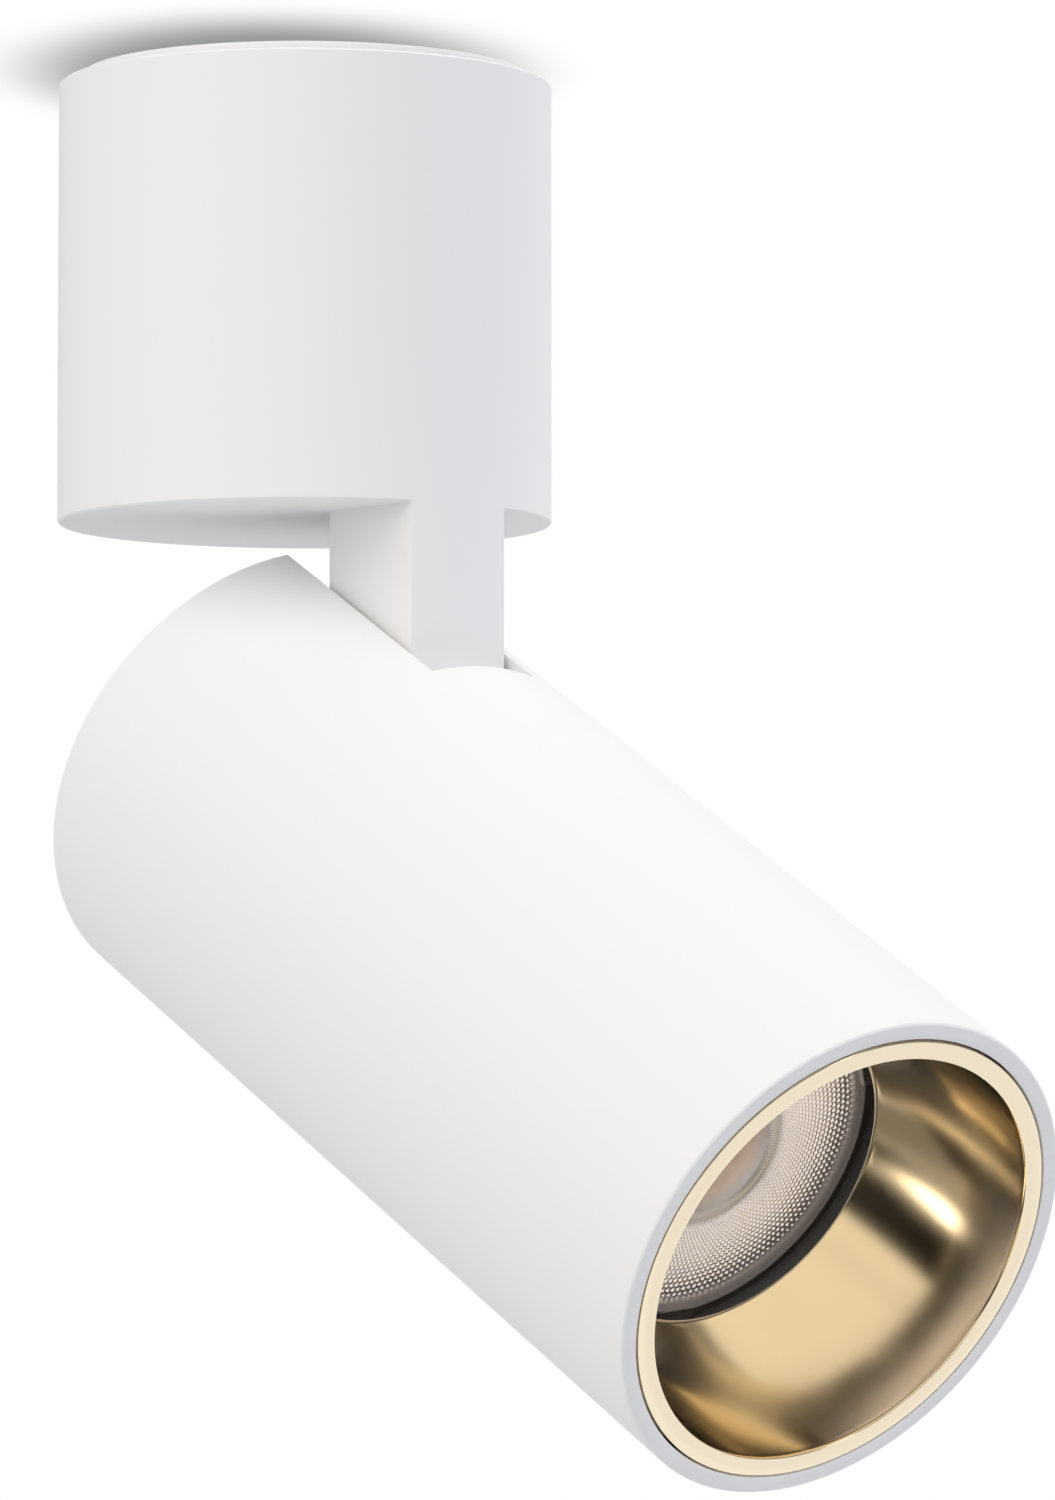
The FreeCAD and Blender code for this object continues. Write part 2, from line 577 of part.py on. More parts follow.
def make_pivot():
    """Make the hollow pivot through the arm, with its nut, spring washer and friction washers."""
    flange_face = "-(cheek_out + face_play)"
    spring_face = "cheek_out + face_play"
    nut_face = f"{spring_face} + spring_thick + face_play"
    tube_end = f"{nut_face} + nut_thick + nut_proud"
    flange_end = f"{flange_face} - pivot_flange_thick"
    bar = rod("pivot_bar", "pivot_rad", "y", flange_end, tube_end, x="pivot_x", z="pivot_z")
    flange = rod("pivot_flange_disc", "pivot_rad + pivot_flange", "y", flange_end, flange_face,
                 x="pivot_x", z="pivot_z")
    bore = rod("pivot_hollow", "pivot_bore / 2", "y", f"{flange_end} - 1", f"{tube_end} + 1",
               x="pivot_x", z="pivot_z")
    window = block("pivot_window", ("pivot_x - pivot_bore / 2", "pivot_x + pivot_bore / 2"),
                   ("-(arm_half - arm_wall)", "arm_half - arm_wall"), ("pivot_z", "pivot_z + pivot_dia"))
    node("pivot_tube", cut("pivot_cut", fuse("pivot_solid", bar, flange), bore, window))
    nut = DOC.addObject("Part::Prism", "nut_blank")
    nut.Polygon = 6
    nut.Placement.Rotation = TURNS["y"] * FreeCAD.Rotation(V(0, 0, 1), 30)
    bind(nut, Circumradius="nut_across / 2", Height="nut_thick",
         Placement__Base__x="pivot_x", Placement__Base__y=nut_face, Placement__Base__z="pivot_z")
    node("pivot_nut", cut("nut_cut", nut, rod("nut_bore", "pivot_rad + thread_play", "y", f"{nut_face} - 1",
                                              f"{nut_face} + nut_thick + 1", x="pivot_x", z="pivot_z")))
    washers = {"pivot_spring_washer": [(spring_face, f"{spring_face} + spring_thick")],
               "friction_washers": [("arm_half + face_play", "slot_half - face_play"),
                                    ("-(slot_half - face_play)", "-(arm_half + face_play)")]}
    for name, spans in washers.items():
        rings = [cut(f"{name}_{i}",
                     rod(f"{name}_disc_{i}", "pivot_rad + pivot_flange", "y", *span,
                         x="pivot_x", z="pivot_z"),
                     rod(f"{name}_bore_{i}", "pivot_rad + thread_play", "y",
                         f"{span[0]} - 1", f"{span[1]} + 1", x="pivot_x", z="pivot_z"))
                 for i, span in enumerate(spans)]
        node(name, group(name + "_set", rings) if len(rings) > 1 else rings[0])


# ---------------------------------------------------------------- head

def make_housing():
    """Make the head's tube, its rear cap and the yoke that carries the pivot, with their screws."""
    wall = turned("tube_turned", [
        ("cap_seat", "0"), ("head_rad - edge_break", "0"), ("head_rad", "-edge_break"),
        ("head_rad", "-head_long + edge_break"), ("head_rad - edge_break", "-head_long"),
        ("tube_in", "-head_long"), ("tube_in", "trim_back"), ("lip_in", "trim_back"), ("lip_in", "lip_back"), ("tube_in", "lip_back"),
        ("tube_in", "sink_low - lip_thick"), ("lip_in", "sink_low - lip_thick"), ("lip_in", "sink_low"),
        ("tube_in", "sink_low"), ("tube_in", "-cap_thick"), ("cap_seat", "-cap_thick")])
    slot = block("tube_slot", ("slot_floor", "head_rad + 1"), ("-slot_half", "slot_half"), ("-slot_end", "1"))
    node("head_tube", cut("tube_cut", wall, slot), on_head=True)

    cap = turned("cap_disc", [("0", "0"), ("cap_seat - face_play", "0"),
                              ("cap_seat - face_play", "-cap_thick"), ("0", "-cap_thick")])
    notch = block("cap_notch", ("arm_back - cap_arm_gap", "head_rad + 1"), ("-slot_half", "slot_half"),
                  ("-cap_thick - 1", "1"))
    post_screws = [countersunk(f"cap_bore_{a}", "screw_rad", "post_ring", a, "0", "cap_thick + 1",
                               "thread_play") for a in POSTS]
    node("rear_cap", cut("cap_cut", cap, notch, *post_screws), on_head=True)
    node("cap_screws", group("cap_screw_set", [
        countersunk(f"cap_screw_{a}", "screw_rad", "post_ring", a, "0", "cap_screw_long")
        for a in POSTS]), on_head=True)

    base = rod("yoke_disc", "core_rad", "z", "yoke_low", "-slot_end")
    channel = block("yoke_channel", ("slot_floor - yoke_wall", "head_rad"), ("-cheek_out", "cheek_out"),
                    ("-slot_end - 0.5", "-cap_thick"))
    channel_round = rod("yoke_round", "core_rad", "z", "-slot_end - 1", "0")
    posts = []
    for a in POSTS:
        x, y = at_angle("post_ring", a)
        posts.append(rod(f"yoke_post_{a}", "post_dia / 2", "z", "-slot_end - 0.5", "-cap_thick", x, y))
    gap = block("yoke_gap", ("slot_floor", "head_rad + 1"), ("-slot_half", "slot_half"), ("-slot_end", "1"))
    bore = rod("yoke_pivot_bore", "pivot_rad + run_play", "y", "-cheek_out - 1", "cheek_out + 1",
               x="pivot_x", z="-pivot_in")
    post_bores = [countersunk(f"post_bore_{a}", "screw_rad", "post_ring", a, "0", "cap_screw_long",
                              "thread_play") for a in POSTS]
    screw_bores = []
    for a in YOKE_SCREWS:
        x, y = at_angle("yoke_screw_ring", a)
        screw_bores.append(rod(f"yoke_bore_{a}", "screw_rad + thread_play", "z",
                               "yoke_low - 1", "-slot_end + 1", x, y))
    x, y = at_angle("lead_ring", LEAD_ANGLE)
    lead_bore = rod("yoke_lead_bore", "lead_rad + lead_play", "z", "yoke_low - 1", "-slot_end + 1", x, y)
    solid = fuse("yoke_solid", base, common("yoke_u", channel, channel_round), *posts)
    node("pivot_yoke", cut("yoke_cut", solid, gap, bore, lead_bore, *post_bores, *screw_bores),
         on_head=True)
    screws = []
    for a in YOKE_SCREWS:
        x, y = at_angle("yoke_screw_ring", a)
        screws.append(pan_screw(f"yoke_screw_{a}", "screw_rad", x, y, "-slot_end", "yoke_screw_long"))
    node("yoke_screws", group("yoke_screw_set", screws), on_head=True)


def make_heat_sink():
    """Make the finned heat sink between the yoke and the LED board, by a patterned pad of fins."""
    body = DOC.addObject("PartDesign::Body", "sink_body")
    plane = next(part for part in body.Origin.OriginFeatures if part.Role == "XY_Plane")
    discs = (("sink_foot", "tube_in - slide_fit", "sink_low", "sink_base"),
             ("sink_stem", "sink_core / 2", "sink_low", "yoke_low - sink_low"))
    for name, radius, level, height in discs:
        sketch = body.newObject("Sketcher::SketchObject", name + "_circle")
        sketch.AttachmentSupport = (plane, [""])
        sketch.MapMode = "FlatFace"
        bind(sketch, AttachmentOffset__Base__z=level)
        sketch.addGeometry(Part.Circle(V(0, 0, 0), V(0, 0, 1), value(radius)))
        sketch.addConstraint(Sketcher.Constraint("Coincident", 0, 3, -1, 1))
        index = sketch.addConstraint(Sketcher.Constraint("Radius", 0, value(radius)))
        sketch.renameConstraint(index, "radius")
        sketch.setExpression("Constraints.radius", bind_names(radius))
        pad = body.newObject("PartDesign::Pad", name)
        pad.Profile = sketch
        bind(pad, Length=height)
    sketch = body.newObject("Sketcher::SketchObject", "fin_section")
    sketch.AttachmentSupport = (plane, [""])
    sketch.MapMode = "FlatFace"
    bind(sketch, AttachmentOffset__Base__z="sink_low")
    sides = (("sink_core / 4", "-fin_thick / 2"), ("sqrt(core_rad ^ 2 - fin_thick ^ 2)", "-fin_thick / 2"),
             ("sqrt(core_rad ^ 2 - fin_thick ^ 2)", "fin_thick / 2"), ("sink_core / 4", "fin_thick / 2"))
    corners = [V(value(across), value(along), 0) for across, along in sides]
    for i in range(4):
        sketch.addGeometry(Part.LineSegment(corners[i], corners[(i + 1) % 4]))
    for i, (across, along) in enumerate(sides):
        sketch.addConstraint(Sketcher.Constraint("Coincident", i, 2, (i + 1) % 4, 1))
        pin(sketch, "DistanceX", f"across_{i}", i, across)
        pin(sketch, "DistanceY", f"along_{i}", i, along)
    fin = body.newObject("PartDesign::Pad", "fin")
    fin.Profile = sketch
    bind(fin, Length="yoke_low - sink_low")
    DOC.recompute()
    pattern = body.newObject("PartDesign::PolarPattern", "fin_ring")
    pattern.Originals = [fin]
    pattern.Axis = (sketch, ["N_Axis"])
    pattern.Angle = 360
    bind(pattern, Occurrences="fin_count")
    body.Tip = pattern
    x, y = at_angle("lead_ring", LEAD_ANGLE)
    bores = [rod("sink_lead_bore", "lead_rad + lead_play", "z",
                 "sink_low - 1", "sink_low + sink_base + 1", x, y)]
    for a in YOKE_SCREWS:
        x, y = at_angle("yoke_screw_ring", a)
        bores.append(rod(f"sink_yoke_bore_{a}", "screw_rad + thread_play", "z", "-slot_end - yoke_screw_long",
                         "-slot_end + 1", x, y))
    for a in HOLDER_SCREWS:
        x, y = at_angle("holder_screw_ring", a)
        bores.append(rod(f"sink_holder_bore_{a}", "small_screw_rad + thread_play", "z", "sink_low - 1",
                         "sink_low + thread_deep + 1", x, y))
    for a in BOARD_SCREWS:
        x, y = at_angle("board_screw_ring", a)
        bores.append(rod(f"sink_board_bore_{a}", "small_screw_rad + thread_play", "z", "sink_low - 1",
                         "sink_low + thread_deep + 1", x, y))
    node("heat_sink", cut("sink_cut", body, *bores), on_head=True)


def strip(name, degrees, wide, reach, heights):
    """Return a box across a radius at an angle, from its (low, high) spans along the radius and Z."""
    box = DOC.addObject("Part::Box", name)
    box.Placement.Rotation = FreeCAD.Rotation(V(0, 0, 1), degrees)
    return bind(
        box,
        Length=f"({reach[1]}) - ({reach[0]})", Width=wide, Height=f"({heights[1]}) - ({heights[0]})",
        Placement__Base__x=f"({reach[0]}) * cos({degrees}) + ({wide}) / 2 * sin({degrees})",
        Placement__Base__y=f"({reach[0]}) * sin({degrees}) - ({wide}) / 2 * cos({degrees})",
        Placement__Base__z=heights[0],
    )


def make_light_engine():
    """Make the LED board, its frame and screws, the lens, the cup that it sits in and its clips."""
    board_bores, frame_bores, board_screws = [], [], []
    for a in BOARD_SCREWS:
        x, y = at_angle("board_screw_ring", a)
        board_bores.append(rod(f"board_bore_{a}", "small_screw_rad + thread_play", "z",
                               "led_low - 1", "sink_low + 1", x, y))
        frame_bores.append(fuse(
            f"frame_bore_{a}",
            rod(f"frame_bore_shank_{a}", "small_screw_rad + thread_play", "z",
                "frame_low - 1", "led_low + 1", x, y),
            rod(f"frame_bore_head_{a}", f"small_screw_rad * {BOARD_HEAD_WIDE} + thread_play", "z",
                "frame_low - 1", "led_low - led_frame_thick / 3", x, y)))
        board_screws.append(fuse(
            f"board_screw_{a}",
            rod(f"board_screw_shank_{a}", "small_screw_rad", "z",
                "frame_low", "sink_low + thread_deep", x, y),
            rod(f"board_screw_head_{a}", f"small_screw_rad * {BOARD_HEAD_WIDE}", "z",
                "frame_low", "led_low - led_frame_thick / 3", x, y)))
    disc = rod("board_disc", "led_board_rad", "z", "led_low", "sink_low")
    node("led_board", cut("board_cut", disc, *board_bores), on_head=True)
    node("led_emitter", turned("emitter_disc", [
        ("0", "led_low"), ("emitter_dia / 2", "led_low"), ("emitter_dia / 2", "led_low - emitter_thick"),
        ("0", "led_low - emitter_thick")]), on_head=True)
    frame = tube("frame_ring", "emitter_dia / 2 + slide_fit", "led_board_rad", "led_low", "frame_low")
    node("led_frame", cut("frame_cut", frame, *frame_bores), on_head=True)
    node("board_screws", group("board_screw_set", board_screws), on_head=True)

    node("lens", turned("lens_turned", [
        ("0", "lens_front"), ("lens_rad - edge_break * 2", "lens_front"),
        ("lens_rad", "lens_front + edge_break * 2"), ("lens_rad", "lens_front + lens_rim"),
        ("lens_rad - lens_shoulder", "lens_front + lens_rim"), ("lens_tail / 2", "lens_back"),
        ("lens_pocket / 2", "lens_back"), ("lens_pocket / 2 - pocket_draft", "lens_back - lens_pocket_deep"),
        ("0", "lens_back - lens_pocket_deep")]), on_head=True)

    rim_low = "lens_front + holder_low"
    seat = "lens_front + lens_rim + face_play"
    ledge = "lens_rad - lens_shoulder + ledge_clear"
    cup = turned("holder_cup", [
        ("holder_foot_in", "sink_low"), ("holder_rad", "sink_low"), ("holder_rad", rim_low),
        ("holder_in", rim_low), ("holder_in", seat), (ledge, seat),
        (ledge, f"{seat} + holder_ledge"), ("holder_in", f"{seat} + holder_ledge"),
        ("holder_in", "sink_low - holder_foot"), ("holder_foot_in", "sink_low - holder_foot")])
    leg_in, leg_out = "holder_rad + face_play", "holder_rad + face_play + lens_clip_thick"
    leg_top = f"{rim_low} + lens_clip_tall"
    tab_low = f"{leg_top} - lens_clip_thick"
    grip_high = "lens_front - face_play"
    grip_low = f"{grip_high} - lens_clip_thick"
    clips = [fuse(f"lens_clip_{a}",
                  strip(f"lens_clip_leg_{a}", a, "lens_clip_wide", (leg_in, leg_out), (grip_low, leg_top)),
                  strip(f"lens_clip_grip_{a}", a, "lens_clip_wide", ("lens_rad - lens_clip_grip", leg_out),
                        (grip_low, grip_high)),
                  strip(f"lens_clip_tab_{a}", a, "lens_clip_wide", ("holder_rad - lens_clip_tab", leg_out),
                        (tab_low, leg_top))) for a in LENS_CLIPS]
    tab_slots = [strip(f"lens_clip_slot_{a}", a, "lens_clip_wide + 2 * slide_fit",
                       ("holder_rad - lens_clip_tab - slide_fit", "holder_rad + 1"),
                       (f"{tab_low} - face_play", f"{leg_top} + face_play")) for a in LENS_CLIPS]
    bores = []
    screws = []
    for a in HOLDER_SCREWS:
        x, y = at_angle("holder_screw_ring", a)
        bores.append(rod(f"holder_bore_{a}", "small_screw_rad + thread_play", "z", "sink_low - holder_foot - 1",
                         "sink_low + 1", x, y))
        screws.append(pan_screw(f"holder_screw_{a}", "small_screw_rad", x, y, "sink_low - holder_foot",
                                "holder_foot + thread_deep", up="-1"))
    x, y = at_angle("lead_ring", LEAD_ANGLE)
    bores.append(rod("holder_lead_bore", "lead_rad + lead_play", "z",
                     "sink_low - holder_foot - 1", "sink_low + 1", x, y))
    node("lens_holder", cut("holder_cut", cup, *bores, *tab_slots), on_head=True)
    node("lens_clips", group("lens_clip_set", clips), on_head=True)
    node("holder_screws", group("holder_screw_set", screws), on_head=True)


def make_baffle():
    """Make the polished bowl with its face ring, and the three clips that hold it in the tube."""
    mouth = "-head_long"
    throat = "-(head_long - bowl_deep)"
    node("baffle", turned("baffle_turned", [
        ("mouth_rad", mouth), ("trim_rad", mouth), ("trim_rad", "trim_back"),
        ("trim_rad - bowl_sheet", "trim_back"), ("trim_rad - bowl_sheet", f"{mouth} + bowl_sheet"),
        ("mouth_rad + bowl_sheet", f"{mouth} + bowl_sheet"),
        ("throat_rad + bowl_sheet", throat), ("throat_rad", throat)],
        bends={5: "bowl_bend + bowl_sheet", 7: "bowl_bend"}), on_head=True)
    hook_low, hook_high = "lip_back + clip_thick", "lip_back + clip_thick * 2"
    clips = [fuse(f"clip_{a}",
                  strip(f"clip_leaf_{a}", a, "clip_wide", ("clip_out - clip_thick", "clip_out"),
                        ("trim_back - trim_deep / 2", hook_high)),
                  strip(f"clip_hook_{a}", a, "clip_wide",
                        ("clip_out - clip_thick", "tube_in - clip_thick * 1.5"), (hook_low, hook_high)))
             for a in CLIP_ANGLES]
    node("baffle_clips", group("clip_set", clips), on_head=True)


# ---------------------------------------------------------------- leads

def make_leads():
    """Make the three inner leads: supply to driver, driver to pivot, and pivot to LED board."""
    radius = size("lead_rad")
    clear = 3 * radius
    strip_end = size("driver_mid") - size("terminal_long") / 2
    wire_level = size("lid_top") + size("terminal_hole_level")
    fore = size("driver_rear") - clear
    node("supply_lead", lead("supply_wire", [
        V(strip_end, 0, wire_level), V(fore, 0, wire_level), V(fore, 0, wire_level - 4 * clear),
        V(size("driver_rear"), 0, wire_level - 4 * clear)], radius))

    px, pz = size("pivot_x"), size("pivot_z")
    level = size("floor_top") + size("lead_level")
    node("driver_lead", lead("driver_wire", [
        V(size("driver_fore"), 0, level), V(px, 0, level), V(px, 0, pz), V(px, -size("arm_half"), pz)], radius))

    side = -(size("cheek_out") + size("pivot_flange_thick") + size("lead_side"))
    ring = size("lead_ring")
    angle = math.radians(LEAD_ANGLE)
    down = V(ring * math.cos(angle), ring * math.sin(angle), 0)
    board = down * (size("led_board_rad") / ring)
    foot = size("frame_low") - radius
    head_lead = lead("head_wire", [
        V(px, -size("arm_half") - size("slide_fit"), -size("pivot_in")), V(px, side, -size("pivot_in")),
        V(px, side, -size("pivot_in") - size("lead_turn")), down + V(0, 0, -size("slot_end") + size("lead_rise")),
        down + V(0, 0, foot), board + V(0, 0, foot)], radius)
    node("head_lead", head_lead, on_head=True)


def check_and_write():
    """Stop on a failed object or a bad shape, then write each node's STEP file."""
    DOC.recompute()
    for obj in DOC.Objects:
        if {"Invalid", "Error"} & set(obj.State):
            raise RuntimeError(f"{obj.Name} is {obj.State}")
    os.makedirs("parts", exist_ok=True)
    for obj in NODES:
        shape = obj.Shape
        if shape.isNull() or not shape.isValid() or not shape.Solids:
            raise RuntimeError(f"{obj.Label} has no valid solid")
    for obj in NODES:
        obj.Shape.exportStep(f"parts/{obj.Label}.step")
        print(f"{obj.Label}: {len(obj.Shape.Solids)} solids, {obj.Shape.Volume:.1f} mm3")


make_base()
make_canopy()
make_driver()
make_pivot()
make_housing()
make_heat_sink()
make_light_engine()
make_baffle()
make_leads()
check_and_write()
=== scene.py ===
"""Ceiling spotlight: finishes, fine surfaces, ceiling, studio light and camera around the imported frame.

Every length is in metres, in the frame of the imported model: the origin is the centre of the
ceiling plate's upper face, +Z is up and the head aims to +X and down.
"""

import logging
import math
from dataclasses import dataclass, field
from enum import Enum
from typing import Sequence

import bmesh
import bpy
import numpy as np
from mathutils import Matrix, Vector


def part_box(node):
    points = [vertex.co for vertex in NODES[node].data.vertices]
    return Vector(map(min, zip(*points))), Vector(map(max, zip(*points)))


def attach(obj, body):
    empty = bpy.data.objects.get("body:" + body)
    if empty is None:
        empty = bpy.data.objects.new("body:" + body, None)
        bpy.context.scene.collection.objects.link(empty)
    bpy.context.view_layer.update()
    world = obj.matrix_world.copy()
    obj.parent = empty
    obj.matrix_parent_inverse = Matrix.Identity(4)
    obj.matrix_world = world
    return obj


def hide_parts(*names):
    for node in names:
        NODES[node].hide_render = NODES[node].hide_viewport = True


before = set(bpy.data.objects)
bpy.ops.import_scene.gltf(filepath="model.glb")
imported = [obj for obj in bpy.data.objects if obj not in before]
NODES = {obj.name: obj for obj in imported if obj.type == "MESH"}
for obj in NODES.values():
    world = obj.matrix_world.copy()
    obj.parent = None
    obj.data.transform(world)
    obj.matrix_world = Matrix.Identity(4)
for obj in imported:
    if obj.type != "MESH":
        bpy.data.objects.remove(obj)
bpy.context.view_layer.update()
LOG = logging.getLogger("spotlight")
MM = 0.001

# the radius of a turned surface's first ring, and how near two points are taken as one
POLE = 1e-6
JOIN = 1e-7
CAD_JOIN = 2e-6
# the least angle between two faces that aren't joined into one flat face, in degrees
FLAT = 0.3
# how nearly a face of a round wall faces straight out: the cosine of the angle between them
STRAIGHT_OUT = 0.985

Colour = tuple[float, float, float]


# ---------------------------------------------------------------- the head's own frame


@dataclass
class HeadPlace:
    """The head's frame: origin at its rear face's centre, -Z to the mouth, +X to the arm's slot."""

    tilt: float = math.radians(60)
    length: float = 150.0 * MM
    rear: np.ndarray = field(init=False)
    axes: np.ndarray = field(init=False)

    def __post_init__(self) -> None:
        """Work the place out from the baffle's box: its rim's circle stands on the mouth's plane."""
        low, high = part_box("baffle")
        rim = (high.y - low.y) / 2
        aim = np.array([math.sin(self.tilt), 0, -math.cos(self.tilt)])
        mouth = np.array([high.x - rim * math.cos(self.tilt), 0, low.z + rim * math.sin(self.tilt)])
        self.rear = mouth - aim * self.length
        self.axes = np.array([[math.cos(self.tilt), 0, math.sin(self.tilt)], [0, 1, 0], -aim])

    def world(self, local: np.ndarray) -> np.ndarray:
        """Return places given in the head's frame in the model's frame."""
        return np.asarray(local, float) @ self.axes + self.rear

    def turned(self, name: str, profile: np.ndarray, segments: int) -> bpy.types.Object:
        """Turn a closed (radius, height) outline about the head's axis.

        A point is (r cos t, r sin t, z) for the outline's (r, z) and t from 0 to a full turn.

        Args:
            name: the piece's name.
            profile: the outline.
            segments: steps in a turn.

        Returns:
            The object.
        """
        t = np.linspace(0, 2 * np.pi, segments, endpoint=False)[None, :]
        r, z = profile[:, :1], profile[:, 1:]
        local = np.stack([r * np.cos(t), r * np.sin(t), z + 0 * t], axis=2).reshape(-1, 3)
        faces = grid_faces(len(profile), segments, True, True)
        return smooth(set_mesh(name, self.world(local), faces))


# ---------------------------------------------------------------- materials


class Tree:
    """A node tree, with short calls that add and join its nodes."""

    def __init__(self, tree: bpy.types.NodeTree) -> None:
        """Work on a tree."""
        self.tree = tree

    def node(self, kind: str, **settings: object) -> bpy.types.Node:
        """Add a node and set its properties.

        Args:
            kind: the node's type name.
            settings: properties of the node.

        Returns:
            The new node.
        """
        made = self.tree.nodes.new(kind)
        for key, value in settings.items():
            setattr(made, key, value)
        return made

    def join(self, source: bpy.types.NodeSocket, target: bpy.types.NodeSocket) -> None:
        """Join an output socket to an input socket."""
        self.tree.links.new(source, target)

    def give(self, socket: bpy.types.NodeSocket, value: object) -> None:
        """Give an input socket a number, a colour or a source.

        Args:
            socket: the input.
            value: what it gets; a colour's alpha is 1.
        """
        if isinstance(value, bpy.types.NodeSocket):
            self.join(value, socket)
        elif socket.type == "RGBA":
            socket.default_value = (*value[:3], 1)
        else:
            socket.default_value = value

    def feed(self, made: bpy.types.Node, **inputs: object) -> bpy.types.Node:
        """Give a node's inputs a value or a source.

        Args:
            made: the node.
            inputs: socket names, with an underscore for a space, and what each gets.

        Returns:
            The same node.
        """
        for key, value in inputs.items():
            self.give(made.inputs[key.replace("_", " ")], value)
        return made

    def vector_math(self, operation: str, *values: object) -> bpy.types.Node:
        """Return a vector math node on vectors or their sources."""
        made = self.node("ShaderNodeVectorMath", operation=operation)
        for value, socket in zip(values, made.inputs):
            self.give(socket, value)
        return made

    def peak(self, first: bpy.types.NodeSocket, second: bpy.types.NodeSocket) -> bpy.types.NodeSocket:
        """Return the greater of two values.

        Args:
            first: one value's source.
            second: the other's.

        Returns:
            The greater value's socket.
        """
        made = self.node("ShaderNodeMath", operation="MAXIMUM")
        self.join(first, made.inputs[0])
        self.join(second, made.inputs[1])
        return made.outputs[0]

    def eased(self, value: bpy.types.NodeSocket, start: float, end: float) -> bpy.types.NodeSocket:
        """Return a value eased from 0 at start to 1 at end."""
        made = self.node("ShaderNodeMapRange", interpolation_type="SMOOTHSTEP")
        return self.feed(made, Value=value, From_Min=start, From_Max=end).outputs[0]

    def mixed(self, share: bpy.types.NodeSocket, first: object, second: object) -> bpy.types.NodeSocket:
        """Return a mix of two numbers or their sources: the first where the share is 0."""
        made = self.node("ShaderNodeMix", data_type="FLOAT")
        for value, socket in zip((share, first, second), (made.inputs[0], made.inputs[2], made.inputs[3])):
            self.give(socket, value)
        return made.outputs[0]

    def blend(self, share: bpy.types.NodeSocket, first: object, second: object,
              way: str = "MIX") -> bpy.types.NodeSocket:
        """Return a mix of two colours.

        Args:
            share: how much of the second there is.
            first: a colour or its source.
            second: a colour or its source.
            way: how they mix.

        Returns:
            The mixed colour's socket.
        """
        made = self.node("ShaderNodeMix", data_type="RGBA", blend_type=way)
        for value, socket in zip((share, first, second), (made.inputs[0], made.inputs[6], made.inputs[7])):
            self.give(socket, value)
        return made.outputs[2]


